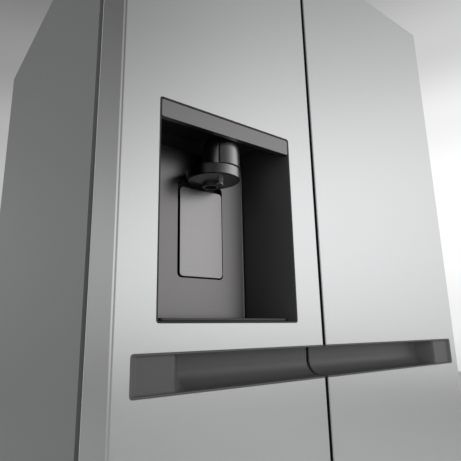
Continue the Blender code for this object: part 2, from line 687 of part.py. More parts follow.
def make_housing(dark, shell, liner):
    """Recess housing with its frame, and the holes for it in the skin and in the door liner."""
    wall = DISPENSER_WALL
    low = Vector((DISPENSER_X[0], FRONT, DISPENSER_FLOOR))
    high = Vector((DISPENSER_X[1], RECESS_BACK + wall, DISPENSER_TOP))
    room = Vector((GAP, GAP, GAP))
    housing = box("dispenser_housing", low, high, dark)
    cut_box(housing, (low.x + wall, FRONT - wall, low.z + wall), (high.x - wall, RECESS_BACK, RECESS_TOP))
    cut_box(shell, (low.x - GAP, FRONT - wall, low.z - GAP), (high.x + GAP, FRONT + 2 * SKIN, high.z + GAP))
    bulge = Vector((wall + 2 * GAP, wall + GAP, wall + 2 * GAP))
    add_box(liner, (low.x - bulge.x, DOOR_BACK + 2 * GAP, low.z - bulge.z), high + bulge)
    cut_box(liner, (low.x - 2 * GAP, DOOR_BACK - wall, low.z - 2 * GAP), high + room)
    return housing


def make_fascia(gloss):
    """Flush touch strip above the recess."""
    wall = DISPENSER_WALL + GAP
    low = (DISPENSER_X[0] + wall, FRONT, DISPENSER_TOP - FASCIA_HEIGHT)
    high = (DISPENSER_X[1] - wall, FRONT + FASCIA_DEPTH, DISPENSER_TOP - wall)
    return box("dispenser_fascia", low, high, gloss, 0.001, 1)


def make_spout(gloss, dark, chrome):
    """Ice dome under the recess ceiling, its ring with the chute, and the water nozzle."""
    floor = DISPENSER_FLOOR
    place = (SPOUT_X, SPOUT_Y, floor)
    bore = RING_RADIUS - CHUTE_STEP
    dome_low = RING_HIGH + 0.003
    shoulder = dome_low + DOME_SIDE
    dome = [(0, dome_low), (DOME_RADIUS, dome_low)]
    for i in range(DOME_STEPS):
        angle = math.radians(90 * i / DOME_STEPS)
        dome.append((DOME_RADIUS * math.cos(angle), shoulder + DOME_RISE * math.sin(angle)))
    dome.append((0, shoulder + DOME_RISE))
    top = turned("spout_dome", dome, (SPOUT_X + DOME_SHIFT[0], SPOUT_Y + DOME_SHIFT[1], floor), "Z", gloss,
                 32)
    add_box(top, (SPOUT_X - ARM_WIDTH / 2, SPOUT_Y + 0.006, floor + dome_low + 0.002),
            (SPOUT_X + ARM_WIDTH / 2, RECESS_BACK - GAP, floor + shoulder + 0.004))
    pieces = [top]
    chute_low = RING_LOW - 0.006
    mouth = bore - CHUTE_WALL
    ring = [(mouth, chute_low), (mouth + 0.002, chute_low), (mouth + 0.003, RING_LOW),
            (RING_RADIUS - 0.002, RING_LOW), (RING_RADIUS, RING_LOW + 0.002),
            (RING_RADIUS, RING_HIGH - 0.001), (RING_RADIUS - 0.001, RING_HIGH),
            (bore, RING_HIGH), (bore, dome_low - GAP), (mouth, dome_low - GAP)]
    pieces.append(turned("spout_ring", ring, place, "Z", dark, 32))
    nozzle_foot = NOZZLE_RADIUS * 0.6
    nozzle_low = chute_low - 0.0005
    nozzle_high = dome_low - GAP
    nozzle = [(nozzle_foot, nozzle_low), (NOZZLE_RADIUS, nozzle_low),
              (NOZZLE_RADIUS, nozzle_high), (nozzle_foot, nozzle_high)]
    nozzle_off = bore - CHUTE_WALL - NOZZLE_RADIUS - NOZZLE_CLEAR
    nozzle_turn = math.radians(NOZZLE_TURN)
    nozzle_place = (SPOUT_X + nozzle_off * math.cos(nozzle_turn),
                    SPOUT_Y + nozzle_off * math.sin(nozzle_turn), floor)
    pieces.append(turned("water_nozzle", nozzle, nozzle_place, "Z", chrome, 16))
    return pieces


def make_paddle(dark):
    """Push paddle hinged at its top edge, in front of the recess's back wall."""
    low_z = DISPENSER_FLOOR + PADDLE_LOW
    high_z = DISPENSER_FLOOR + PADDLE_HIGH
    back = RECESS_BACK - PADDLE_CLEAR
    half = PADDLE_WIDTH / 2
    bm, middle = box_mesh((SPOUT_X - half, back - PADDLE_THICK, low_z), (SPOUT_X + half, back, high_z))
    across = [e for e in bm.edges if abs(e.verts[0].co.y - e.verts[1].co.y) > PADDLE_THICK / 2]
    bmesh.ops.bevel(bm, geom=across, offset=0.007, segments=4, affect="EDGES", profile=0.5)
    paddle = add_object("dispense_paddle", bm, dark, middle)
    axis = pivot("paddle_axis", (SPOUT_X, back - PADDLE_THICK / 2, high_z - 0.004))
    hang(axis, paddle)
    return paddle


def make_tray(dark):
    """Drip tray that lifts out of the recess floor."""
    wall = DISPENSER_WALL
    low = Vector((DISPENSER_X[0] + wall + 0.010, FRONT + 0.012, DISPENSER_FLOOR + wall + GAP))
    high = Vector((DISPENSER_X[1] - wall - 0.010, RECESS_BACK - 0.012,
                   DISPENSER_FLOOR + wall + GAP + TRAY_HEIGHT))
    tray = box("drip_tray", low, high, dark, 0.001, 1)
    for i in range(TRAY_SLOTS):
        x = low.x + 0.020 + i * (high.x - low.x - 0.040) / TRAY_SLOTS
        cut_box(tray, (x, low.y + 0.012, low.z + 0.003),
                (x + TRAY_SLOT_WIDTH, high.y - 0.012, high.z + 0.010))
    return tray


def main():
    clear_scene()
    steel = material("satin_steel", (0.62, 0.63, 0.64), 0.32, 1.0)
    paint = material("case_paint", (0.30, 0.31, 0.32), 0.45)
    foam = material("foam", (0.85, 0.78, 0.60), 0.95)
    white = material("white_plastic", (0.86, 0.87, 0.87), 0.40)
    clear = material("clear_plastic", (0.80, 0.85, 0.88), 0.12)
    glass = material("shelf_glass", (0.75, 0.85, 0.82), 0.05)
    light = material("light_lens", (0.95, 0.95, 0.92), 0.30)
    dark = material("dark_plastic", (0.10, 0.10, 0.105), 0.45)
    gloss = material("dark_gloss", (0.06, 0.06, 0.065), 0.15)
    rubber = material("seal_rubber", (0.06, 0.06, 0.06), 0.70)
    zinc = material("zinc_steel", (0.55, 0.56, 0.57), 0.40, 1.0)
    alloy = material("coil_alloy", (0.75, 0.76, 0.77), 0.35, 1.0)
    chrome = material("chrome", (0.80, 0.81, 0.82), 0.12, 1.0)

    make_case(paint, foam, paint)
    make_back(zinc, dark)
    make_liner("freezer_liner", FREEZER_X, white)
    make_liner("fridge_liner", FRIDGE_X, white)
    make_base(zinc, rubber, dark)
    make_hinges(zinc, dark)
    make_cooling(zinc, alloy, white, dark)
    make_inside(glass, clear, white, light, white)

    for word, side, span, heights in (
        ("left", -1, LEFT_DOOR, FREEZER_BINS),
        ("right", 1, RIGHT_DOOR, FRIDGE_BINS),
    ):
        shell = make_door_shell(word, side, span, steel)
        liner = make_door_liner(word, side, span, white)
        pieces = [shell, liner, make_gasket(word, side, rubber), make_pocket(word, side, span, shell, dark)]
        pieces += make_bins(word, side, span, heights, clear)
        if side < 0:
            pieces += [make_housing(dark, shell, liner), make_fascia(gloss), make_tray(dark)]
            pieces += make_spout(gloss, dark, chrome)
            make_paddle(dark)
        axis = pivot(f"{word}_door_axis", (side * (DOOR_EDGE - HINGE_IN), FRONT + HINGE_BACK, DOOR_BOTTOM))
        hang(axis, *pieces)


main()
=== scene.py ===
# %% [markdown]
# # A side by side refrigerator, finished as a studio model
#
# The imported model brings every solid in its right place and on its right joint. This lesson gives
# those solids their real surface: folded steel skins with soft corners, moulded troughs, a turned
# ice spout, clear bins and glass shelves. The frame is fixed, so each new piece reads its size from
# the solid that it stands for and then rides on the same body.

# %% Load the frame
import math

import bmesh
import bpy
from mathutils import Matrix, Vector


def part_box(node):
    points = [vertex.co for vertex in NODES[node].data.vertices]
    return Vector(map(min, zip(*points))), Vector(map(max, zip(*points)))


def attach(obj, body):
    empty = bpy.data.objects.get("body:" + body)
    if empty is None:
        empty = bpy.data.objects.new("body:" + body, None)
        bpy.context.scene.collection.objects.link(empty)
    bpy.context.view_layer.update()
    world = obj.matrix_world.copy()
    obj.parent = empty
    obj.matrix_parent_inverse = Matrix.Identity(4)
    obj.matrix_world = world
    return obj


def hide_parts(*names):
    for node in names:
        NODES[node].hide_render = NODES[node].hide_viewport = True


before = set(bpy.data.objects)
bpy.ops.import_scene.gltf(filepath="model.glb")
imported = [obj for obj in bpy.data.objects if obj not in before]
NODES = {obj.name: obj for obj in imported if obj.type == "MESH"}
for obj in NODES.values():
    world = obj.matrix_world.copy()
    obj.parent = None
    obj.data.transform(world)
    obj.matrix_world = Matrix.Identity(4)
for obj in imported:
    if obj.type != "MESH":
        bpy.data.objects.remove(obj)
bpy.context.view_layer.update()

# %% [markdown]
# ## Places to measure from
#
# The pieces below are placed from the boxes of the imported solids. The front plane, the two doors,
# the case, the recess and the strip above it are used by several cells, so they are read once
# here. The other boxes are read where they are used.

# %% Measure the frame
LEFT_LOW, LEFT_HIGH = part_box("left_door_shell")
RIGHT_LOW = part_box("right_door_shell")[0]
CASE_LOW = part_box("outer_case")[0]
RECESS_LOW, RECESS_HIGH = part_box("dispenser_housing")
FASCIA_LOW, FASCIA_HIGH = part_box("dispenser_fascia")
FRONT = LEFT_LOW.y
DOOR_HEAD = LEFT_HIGH.z
print(f"front plane at y {FRONT:.4f}, left door {LEFT_HIGH.x - LEFT_LOW.x:.3f} m wide")

# %% [markdown]
# ## The camera
#
# A low camera close to the left door looks up and to the right along the doors, which makes the
# handle band and the top of the dispenser run downhill together. A level lens would need a tall
# picture for that, so the camera is tilted, and a small shift puts the horizon where it belongs.

# %% Set the camera
CAMERA_FROM_DOOR = Vector((-0.2248, -0.5040, 0.0029))
CAMERA_HEADING = math.radians(-34.868)
CAMERA_TILT = math.radians(12.800)
CAMERA_LENS = 32.616
CAMERA_SENSOR = 36.0
CAMERA_SHIFT = (0.0806, -0.0098)
CAMERA_NEAR = 0.02
camera_data = bpy.data.cameras.new("camera")
camera_data.lens = CAMERA_LENS
camera_data.sensor_width = CAMERA_SENSOR
camera_data.shift_x, camera_data.shift_y = CAMERA_SHIFT
camera_data.clip_start = CAMERA_NEAR
camera = bpy.data.objects.new("camera", camera_data)
bpy.context.scene.collection.objects.link(camera)
camera.location = Vector((LEFT_LOW.x, FRONT, RECESS_LOW.z)) + CAMERA_FROM_DOOR
camera.rotation_euler = (math.pi / 2 + CAMERA_TILT, 0.0, CAMERA_HEADING)
bpy.context.scene.camera = camera
print("camera at", [round(v, 3) for v in camera.location])

# %% [markdown]
# ## A pale studio
#
# Satin steel shows the room more than itself. The sky here is bright at eye level and falls off
# upwards and downwards, which gives the doors their long soft gradient, brightest near the
# dispenser. Round the compass it has a pale side, a dim gap at the front and a bright side, as a
# room with two big softboxes has, and the gap draws the dark line along each door's soft corner.
# One upper corner is shaded a little more, as a flag on a stand would do. Softboxes alone could do
# it, but a sky has no edges to show in the steel. Three area lights only lift the shadows: they are
# kept out of the reflections, where their edges would show.

# %% Light the studio
SKY_POWER = 5.2
BY_HEIGHT = (
    (0.00, 0.36), (0.28, 0.34), (0.36, 0.44), (0.42, 0.70), (0.50, 1.02), (0.57, 1.16), (0.64, 1.18),
    (0.70, 1.02), (0.76, 0.70), (0.84, 0.40), (1.00, 0.34),
)
BY_TURN = (
    (0.00, 0.40), (0.12, 0.46), (0.22, 0.92), (0.31, 1.00), (0.42, 0.30), (0.50, 0.55), (0.57, 1.02),
    (0.62, 1.20), (0.66, 1.10), (0.71, 0.78), (0.80, 0.85), (1.00, 0.40),
)
FLAG_HEIGHT = (0.58, 0.70)
FLAG_TURN = (0.63, 0.565)
FLAG_DEPTH = 0.30
AIM = Vector((0.0, 0.0, 0.95))
LIGHTS = (
    ("key_light", (2.6, -3.0, 1.9), (1.8, 1.2), 26.0), ("fill_light", (-3.2, -1.6, 1.7), (1.6, 1.6), 12.0),
    ("back_light", (1.2, 3.4, 2.3), (2.0, 1.2), 22.0),
)


def sky_ramp(tree, value, stops):
    """A smooth grey ramp through (place, level) stops."""
    ramp = tree.nodes.new("ShaderNodeValToRGB")
    ramp.color_ramp.interpolation = "EASE"
    elements = ramp.color_ramp.elements
    while len(elements) < len(stops):
        elements.new(0.5)
    for element, (where, level) in zip(elements, stops):
        element.position = where
        element.color = (level / 2, level / 2, level / 2, 1.0)
    tree.links.new(value, ramp.inputs["Fac"])
    return ramp.outputs["Color"]


def sky_math(tree, operation, first, second):
    """One maths node; a side that is a number is set, a side that is an output is linked."""
    made = tree.nodes.new("ShaderNodeMath")
    made.operation = operation
    for socket, value in zip(made.inputs, (first, second)):
        if isinstance(value, (int, float)):
            socket.default_value = value
        else:
            tree.links.new(value, socket)
    return made.outputs[0]


def sky_fade(tree, value, span):
    """A smooth rise from 0 at the first number to 1 at the second."""
    made = tree.nodes.new("ShaderNodeMapRange")
    made.interpolation_type = "SMOOTHSTEP"
    made.inputs["From Min"].default_value = span[0]
    made.inputs["From Max"].default_value = span[1]
    tree.links.new(value, made.inputs["Value"])
    return made.outputs["Result"]


def make_sky():
    """A world whose brightness follows the height and the turn of the direction looked in."""
    world = bpy.data.worlds.new("studio")
    bpy.context.scene.world = world
    world.use_nodes = True
    tree = world.node_tree
    tree.nodes.clear()
    place = tree.nodes.new("ShaderNodeTexCoord")
    split = tree.nodes.new("ShaderNodeSeparateXYZ")
    tree.links.new(place.outputs["Generated"], split.inputs[0])
    x, y, z = split.outputs["X"], split.outputs["Y"], split.outputs["Z"]
    height = sky_math(tree, "MULTIPLY_ADD", z, 0.5)
    height.node.inputs[2].default_value = 0.5
    turn = sky_math(tree, "ARCTAN2", x, sky_math(tree, "MULTIPLY", y, -1.0))
    turn = sky_math(tree, "DIVIDE", turn, 2 * math.pi)
    turn = sky_math(tree, "ADD", turn, 0.5)
    level = sky_math(tree, "MULTIPLY", sky_ramp(tree, height, BY_HEIGHT), sky_ramp(tree, turn, BY_TURN))
    flag = sky_math(tree, "MULTIPLY", sky_fade(tree, height, FLAG_HEIGHT), sky_fade(tree, turn, FLAG_TURN))
    shade = sky_math(tree, "SUBTRACT", 1.0, sky_math(tree, "MULTIPLY", flag, FLAG_DEPTH))
    level = sky_math(tree, "MULTIPLY", level, shade)
    level = sky_math(tree, "MULTIPLY", level, SKY_POWER)
    light = tree.nodes.new("ShaderNodeBackground")
    out = tree.nodes.new("ShaderNodeOutputWorld")
    tree.links.new(level, light.inputs["Strength"])
    tree.links.new(light.outputs[0], out.inputs["Surface"])


def area_light(name, place, size, power):
    """A rectangular area light at place that looks at the middle of the object."""
    data = bpy.data.lights.new(name, "AREA")
    data.shape = "RECTANGLE"
    data.size, data.size_y = size
    data.energy = power
    lamp = bpy.data.objects.new(name, data)
    bpy.context.scene.collection.objects.link(lamp)
    lamp.location = place
    lamp.visible_glossy = False
    lamp.rotation_euler = (AIM - Vector(place)).to_track_quat("-Z", "Y").to_euler()


make_sky()
for light in LIGHTS:
    area_light(*light)
scene_view = bpy.context.scene.view_settings
scene_view.view_transform = "Standard"
scene_view.exposure = 0.0
print("studio: sky of", len(BY_HEIGHT), "heights by", len(BY_TURN), "turns, and", len(LIGHTS), "area lights")

# %% [markdown]
# ## Finishes from nodes
#
# A finish here is a Principled BSDF with three small layers: a colour that varies a little, a
# roughness that varies a little, and a fine bump. Image scans could give the same, but noise
# nodes have no edges, need no unwrapping and work at any distance. Numbers that are the same all
# over the surface, such as metallic or coat, are set straight on the shader.

# %% Finish helpers
WORN_EDGE = (0.50, 0.62)


def node(tree, kind, **inputs):
    """Add a node and set its named inputs."""
    made = tree.nodes.new(kind)
    for name, value in inputs.items():
        made.inputs[name.replace("_", " ")].default_value = value
    return made


def start_finish(name, metallic=0.0, coat=0.0, coat_roughness=0.05, ior=1.5):
    """A new material with its Principled BSDF, whose even values are set on the shader itself."""
    made = bpy.data.materials.new(name)
    made.use_nodes = True
    tree = made.node_tree
    shader = tree.nodes["Principled BSDF"]
    shader.inputs["Metallic"].default_value = metallic
    shader.inputs["Coat Weight"].default_value = coat
    shader.inputs["Coat Roughness"].default_value = coat_roughness
    shader.inputs["IOR"].default_value = ior
    return made, tree, shader


def object_places(tree, stretch=(1.0, 1.0, 1.0)):
    """Object coordinates, stretched so that noise can run along one direction."""
    place = tree.nodes.new("ShaderNodeTexCoord")
    mapping = node(tree, "ShaderNodeMapping", Scale=stretch)
    tree.links.new(place.outputs["Object"], mapping.inputs["Vector"])
    return mapping.outputs["Vector"]


def noise(tree, places, scale, detail=3.0, roughness=0.55):
    """Noise from 0 to 1 at the given places."""
    made = node(tree, "ShaderNodeTexNoise", Scale=scale, Detail=detail, Roughness=roughness)
    tree.links.new(places, made.inputs["Vector"])
    return made.outputs["Fac"]


def spread(tree, value, low, high):
    """Map a 0 to 1 value onto low to high."""
    made = node(tree, "ShaderNodeMapRange", To_Min=low, To_Max=high)
    tree.links.new(value, made.inputs["Value"])
    return made.outputs["Result"]


def tint(tree, value, dark, pale):
    """A colour between two, by a value from 0 to 1."""
    made = node(tree, "ShaderNodeMix")
    made.data_type = "RGBA"
    made.inputs[6].default_value = (*dark, 1.0)
    made.inputs[7].default_value = (*pale, 1.0)
    tree.links.new(value, made.inputs[0])
    return made.outputs[2]


def bump(tree, value, distance):
    """A bump whose full height is the distance, in metres."""
    made = node(tree, "ShaderNodeBump", Distance=distance, Strength=1.0)
    tree.links.new(value, made.inputs["Height"])
    return made.outputs["Normal"]


def edge_wear(tree):
    """1 on convex edges, 0 on flats: the places where hands and cloths rub."""
    worn = tree.nodes.new("ShaderNodeNewGeometry")
    ramp = tree.nodes.new("ShaderNodeMapRange")
    ramp.inputs["From Min"].default_value, ramp.inputs["From Max"].default_value = WORN_EDGE
    tree.links.new(worn.outputs["Pointiness"], ramp.inputs["Value"])
    return ramp.outputs["Result"]


def close_finish(tree, shader, colour, rough, normal):
    """Link what was made to the shader's three inputs."""
    for output, name in ((colour, "Base Color"), (rough, "Roughness"), (normal, "Normal")):
        tree.links.new(output, shader.inputs[name])


print("finish helpers ready")

# %% [markdown]
# ## Steel and paint
#
# The door skins are satin steel with a fingerprint-proof coat, ground across so finely that the
# grain only shows as a faint drift in the highlight. Noise stretched along the grain gives
# that drift as bump and as roughness. The case is rolled steel with a grey stoved paint, whose
# surface is a little orange peel: one small round noise as bump.

# %% Make steel and paint
GRAIN_SCALE = 9.0
CLOUD_SCALE = 1.6
PEEL_SCALE = 420.0
PEEL_HEIGHT = 0.00006


def brushed(name, dark, pale, rough, stretch, wear=0.05, grain=0.00004):
    """Metal ground along one direction."""
    made, tree, shader = start_finish(name, metallic=1.0)
    fine = noise(tree, object_places(tree, stretch), GRAIN_SCALE, 5.0, 0.70)
    broad = noise(tree, object_places(tree), CLOUD_SCALE, 2.0)
    mixed = sky_math(tree, "ADD", spread(tree, fine, 0.0, 0.6), spread(tree, broad, 0.0, 0.4))
    colour = tint(tree, mixed, dark, pale)
    low, high = rough
    rubbed = sky_math(tree, "MULTIPLY", edge_wear(tree), -wear)
    roughness = sky_math(tree, "ADD", spread(tree, mixed, low, high), rubbed)
    close_finish(tree, shader, colour, roughness, bump(tree, fine, grain))
    return made


def stoved_paint(name, dark, pale, rough):
    """Stoved enamel over sheet steel."""
    made, tree, shader = start_finish(name, coat=0.15, coat_roughness=0.25)
    places = object_places(tree)
    peel = noise(tree, places, PEEL_SCALE, 2.0)
    drift = noise(tree, places, 3.0, 3.0)
    worn = sky_math(tree, "MULTIPLY", edge_wear(tree), 0.35)
    colour = tint(tree, sky_math(tree, "ADD", spread(tree, drift, 0.1, 0.7), worn), dark, pale)
    close_finish(tree, shader, colour, spread(tree, drift, *rough), bump(tree, peel, PEEL_HEIGHT))
    return made


STEEL = brushed("satin_steel_finish", (0.585, 0.590, 0.595), (0.625, 0.628, 0.632), (0.29, 0.33),
                (1.0, 1.0, 34.0))
PAINT = stoved_paint("case_paint_finish", (0.185, 0.188, 0.192), (0.215, 0.218, 0.222), (0.42, 0.52))
ZINC = brushed("zinc_finish", (0.42, 0.43, 0.44), (0.56, 0.57, 0.58), (0.34, 0.48), (1.0, 1.0, 6.0),
               wear=0.08)
ALLOY = brushed("fin_finish", (0.62, 0.63, 0.64), (0.74, 0.75, 0.76), (0.28, 0.42), (1.0, 1.0, 20.0))
# The fascia, the back panel and the paddle are one gunmetal: the panel's copy is darker as painted shade, the
# paddle's copy paler as painted light.
GUNMETAL_GRAIN = (1.0, 1.0, 30.0)
GUNMETAL = brushed("gunmetal_finish", (0.220, 0.214, 0.217), (0.252, 0.246, 0.249), (0.34, 0.40),
                   GUNMETAL_GRAIN)
GUNMETAL_PANEL_SHADED = brushed("gunmetal_panel_painted_shade", (0.180, 0.175, 0.178), (0.212, 0.206, 0.209), (0.29, 0.35),
                         GUNMETAL_GRAIN)
GUNMETAL_PLATE_LIT = brushed("gunmetal_plate_painted_light", (0.285, 0.278, 0.282), (0.345, 0.337, 0.341), (0.29, 0.35),
                         GUNMETAL_GRAIN)
print("metals:", [m.name for m in (STEEL, PAINT, ZINC, ALLOY, GUNMETAL, GUNMETAL_PANEL_SHADED, GUNMETAL_PLATE_LIT)])

# %% [markdown]
# ## Mouldings, rubber and glass
#
# The dark mouldings carry a fine spark-eroded texture, which a small cellular bump gives. The
# liners are smooth white polystyrene with the faint ripple of vacuum forming. Bins are clear and
# glossy, shelves are tempered glass with its green edge, and the seals are soft matte rubber.

# %% Make mouldings, rubber and glass
def moulded(name, dark, pale, rough, cell=900.0, depth=0.00005, coat=0.0):
    """A moulded plastic with an eroded texture and paler rubbed edges."""
    made, tree, shader = start_finish(name, coat=coat, coat_roughness=0.08)
    places = object_places(tree)
    cells = node(tree, "ShaderNodeTexVoronoi", Scale=cell)
    tree.links.new(places, cells.inputs["Vector"])
    drift = noise(tree, places, 7.0, 3.0)
    rubbed = sky_math(tree, "MULTIPLY", edge_wear(tree), 0.4)
    colour = tint(tree, sky_math(tree, "ADD", spread(tree, drift, 0.1, 0.6), rubbed), dark, pale)
    close_finish(tree, shader, colour, spread(tree, drift, *rough),
                 bump(tree, cells.outputs["Distance"], depth))
    return made


def see_through(name, colour, rough, ior, weight, ripples=30.0):
    """Clear plastic or glass with a faint smear and a ripple of the given scale."""
    made, tree, shader = start_finish(name, ior=ior)
    shader.inputs["Transmission Weight"].default_value = weight
    places = object_places(tree)
    smear = noise(tree, places, 14.0, 4.0)
    ripple = noise(tree, places, ripples, 2.0)
    pale = tuple(min(1.0, c * 1.04) for c in colour)
    close_finish(tree, shader, tint(tree, smear, colour, pale), spread(tree, smear, *rough),
                 bump(tree, ripple, 0.00003))
    return made


def lamp_lens(name):
    """Frosted lens over the lamps, softly lit."""
    made, tree, shader = start_finish(name)
    ribs = noise(tree, object_places(tree, (1.0, 60.0, 1.0)), 8.0, 1.0)
    shader.inputs["Emission Color"].default_value = (1.0, 0.97, 0.92, 1.0)
    shader.inputs["Emission Strength"].default_value = 0.6
    close_finish(tree, shader, tint(tree, ribs, (0.82, 0.82, 0.80), (0.92, 0.92, 0.90)),
                 spread(tree, ribs, 0.30, 0.45), bump(tree, ribs, 0.0002))
    return made


DARK = moulded("dark_moulding", (0.062, 0.060, 0.062), (0.095, 0.092, 0.094), (0.42, 0.56))
TROUGH = moulded("trough_moulding", (0.098, 0.094, 0.096), (0.125, 0.120, 0.122), (0.40, 0.50), cell=1400.0,
                 depth=0.00003)
SPOUT = moulded("spout_gloss", (0.018, 0.0175, 0.018), (0.030, 0.0295, 0.030), (0.26, 0.36), cell=500.0,
                depth=0.00001, coat=0.2)
HOUSING = moulded("recess_moulding", (0.022, 0.021, 0.022), (0.034, 0.033, 0.034), (0.38, 0.50), cell=1400.0,
                  depth=0.00002)
BLACK = moulded("black_inner", (0.010, 0.010, 0.010), (0.018, 0.018, 0.018), (0.55, 0.70))
WHITE = moulded("white_liner", (0.70, 0.71, 0.72), (0.78, 0.79, 0.80), (0.30, 0.42), cell=160.0,
                depth=0.00002, coat=0.2)
RUBBER = moulded("seal_rubber_finish", (0.030, 0.030, 0.031), (0.055, 0.055, 0.056), (0.62, 0.80),
                 cell=1500.0, depth=0.00004)
FOAM = moulded("foam_finish", (0.62, 0.53, 0.36), (0.74, 0.66, 0.48), (0.88, 0.98), cell=220.0, depth=0.0006)
CHROME = brushed("chrome_finish", (0.74, 0.75, 0.76), (0.82, 0.83, 0.84), (0.08, 0.14), (1.0, 1.0, 1.0),
                 wear=0.0, grain=0.00001)
CLEAR = see_through("clear_bin", (0.90, 0.93, 0.95), (0.03, 0.10), 1.45, 0.85)
GLASS = see_through("shelf_glass_finish", (0.84, 0.93, 0.90), (0.01, 0.05), 1.50, 0.90, ripples=60.0)
LENS = lamp_lens("lamp_lens_finish")
print("plastics and glass ready")

# %% [markdown]
# ## Tools for building pieces
#
# Every piece is made in mesh code: a plan or a profile is swept, turned or bridged, and its hard
# edges get a small bevel so that they catch the light. Helpers below do the sweeping and the
# bookkeeping: a finished piece rides on a body, gets its material and, where it stands for
# a imported solid, replaces it.

# %% Piece helpers
SHARP_ANGLE = math.radians(32)
BEVEL_ANGLE = math.radians(40)
BEVEL_STEPS = 2
SOFT_EDGE = 0.0004
FINE_EDGE = 0.0003
CUT_EDGE = 0.0001


def piece(name, bm, finish, body, stands_for=(), soften=0.0):
    """Turn a bmesh into a finished piece on a body; soften is the width of its edge bevel."""
    bmesh.ops.recalc_face_normals(bm, faces=bm.faces)
    mesh = bpy.data.meshes.new(name)
    bm.to_mesh(mesh)
    bm.free()
    made = bpy.data.objects.new(name, mesh)
    bpy.context.scene.collection.objects.link(made)
    mesh.materials.append(finish)
    mesh.shade_smooth()
    mesh.set_sharp_from_angle(angle=SHARP_ANGLE)
    if soften:
        edge = made.modifiers.new("soft_edges", "BEVEL")
        edge.width = soften
        edge.segments = BEVEL_STEPS
        edge.limit_method = "ANGLE"
        edge.angle_limit = BEVEL_ANGLE
        edge.harden_normals = True
    fair = made.modifiers.new("fair_normals", "WEIGHTED_NORMAL")
    fair.keep_sharp = True
    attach(made, body)
    if stands_for:
        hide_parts(*stands_for)
    return made


def rounded_ring(low, high, radius, steps=5):
    """Points round a rectangle with rounded corners, anticlockwise from its lower right."""
    (x0, y0), (x1, y1) = low, high
    radius = max(min(radius, (x1 - x0) / 2.01, (y1 - y0) / 2.01), 1e-5)
    corners = ((x1 - radius, y0 + radius, -90), (x1 - radius, y1 - radius, 0),
               (x0 + radius, y1 - radius, 90), (x0 + radius, y0 + radius, 180))
    points = []
    for cx, cy, start in corners:
        for i in range(steps + 1):
            angle = math.radians(start + 90 * i / steps)
            points.append((cx + radius * math.cos(angle), cy + radius * math.sin(angle)))
    return points


def place_ring(bm, points, plane, depth):
    """Vertices for a ring of flat points; plane names the two axes it lies in."""
    order = {
        "xy": lambda a, b: (a, b, depth), "xz": lambda a, b: (a, depth, b),
        "yz": lambda a, b: (depth, a, b),
    }
    return [bm.verts.new(order[plane](a, b)) for a, b in points]


def bridge(bm, first, second):
    """Quads between two rings of the same length."""
    for i in range(len(first)):
        after = (i + 1) % len(first)
        bm.faces.new((first[i], first[after], second[after], second[i]))


def stack(bm, rings):
    """Bridge rings in order and close the ends."""
    for first, second in zip(rings, rings[1:]):
        bridge(bm, first, second)
    bm.faces.new(rings[0])
    bm.faces.new(rings[-1])


def slab(low, high, radius=0.003, edge=0.001, plane="xz", steps=4):
    """A plate with rounded corners and eased edges, as a bmesh; its corners turn in the plane."""
    low, high = Vector(low), Vector(high)
    along = {"xy": 2, "xz": 1, "yz": 0}[plane]
    flat = [i for i in range(3) if i != along]
    a, b = (low[flat[0]], low[flat[1]]), (high[flat[0]], high[flat[1]])
    start, end = low[along], high[along]
    edge = min(edge, (end - start) / 2.2)
    bm = bmesh.new()
    rings = []
    for half, sign, base in ((0, 1, start), (1, -1, end)):
        for i in range(4):
            angle = math.pi / 2 * (i / 3 if half == 0 else 1 - i / 3)
            inset = edge * (1 - math.sin(angle))
            depth = base + sign * edge * (1 - math.cos(angle))
            ring = rounded_ring((a[0] + inset, a[1] + inset), (b[0] - inset, b[1] - inset), radius, steps)
            rings.append(place_ring(bm, ring, plane, depth))
    stack(bm, rings)
    return bm


def turned(profile, centre, axis="z", sides=64):
    """A closed (radius, height) profile turned round an axis through centre, as a bmesh."""
    bm = bmesh.new()
    rings = []
    for radius, height in profile:
        count = 1 if radius < 1e-6 else sides
        rings.append([
            bm.verts.new((radius * math.cos(2 * math.pi * i / sides),
                          radius * math.sin(2 * math.pi * i / sides), height))
            for i in range(count)
        ])
    for first, second in zip(rings, rings[1:] + rings[:1]):
        if len(first) == 1 and len(second) == 1:
            continue
        if len(first) == 1 or len(second) == 1:
            tip, ring = (first[0], second) if len(first) == 1 else (second[0], first)
            for i in range(sides):
                bm.faces.new((tip, ring[i], ring[(i + 1) % sides]))
        else:
            bridge(bm, first, second)
    turn = {"z": Matrix(), "x": Matrix.Rotation(math.pi / 2, 4, "Y"),
            "y": Matrix.Rotation(math.pi / 2, 4, "X")}[axis]
    bmesh.ops.transform(bm, matrix=Matrix.Translation(centre) @ turn, verts=bm.verts)
    return bm


def arc(centre, radius, start, end, steps):
    """Points on an arc from one angle to another, in degrees."""
    points = []
    for i in range(steps + 1):
        angle = math.radians(start + (end - start) * i / steps)
        points.append((centre[0] + radius * math.cos(angle), centre[1] + radius * math.sin(angle)))
    return points


def merge(target, *others):
    """Put other bmeshes into the first one."""
    for other in others:
        spare = bpy.data.meshes.new("spare")
        other.to_mesh(spare)
        other.free()
        target.from_mesh(spare)
        bpy.data.meshes.remove(spare)
    return target


def refinish(finish, *nodes):
    """Give carried-over solids their finish."""
    for name in nodes:
        NODES[name].data.materials.clear()
        NODES[name].data.materials.append(finish)


print("piece helpers ready")


# %% [markdown]
# ## Floor
#
# A refrigerator stands on a hard floor, and a studio shows that floor as one
# pale sheet that runs up out of sight. It could be a single plane, but a plane
# has an edge that shows as a line behind the object. A large disc with a very
# faint mottle has none, since it fades into the sky at the horizon, and the
# mottle keeps it from looking like bare background.

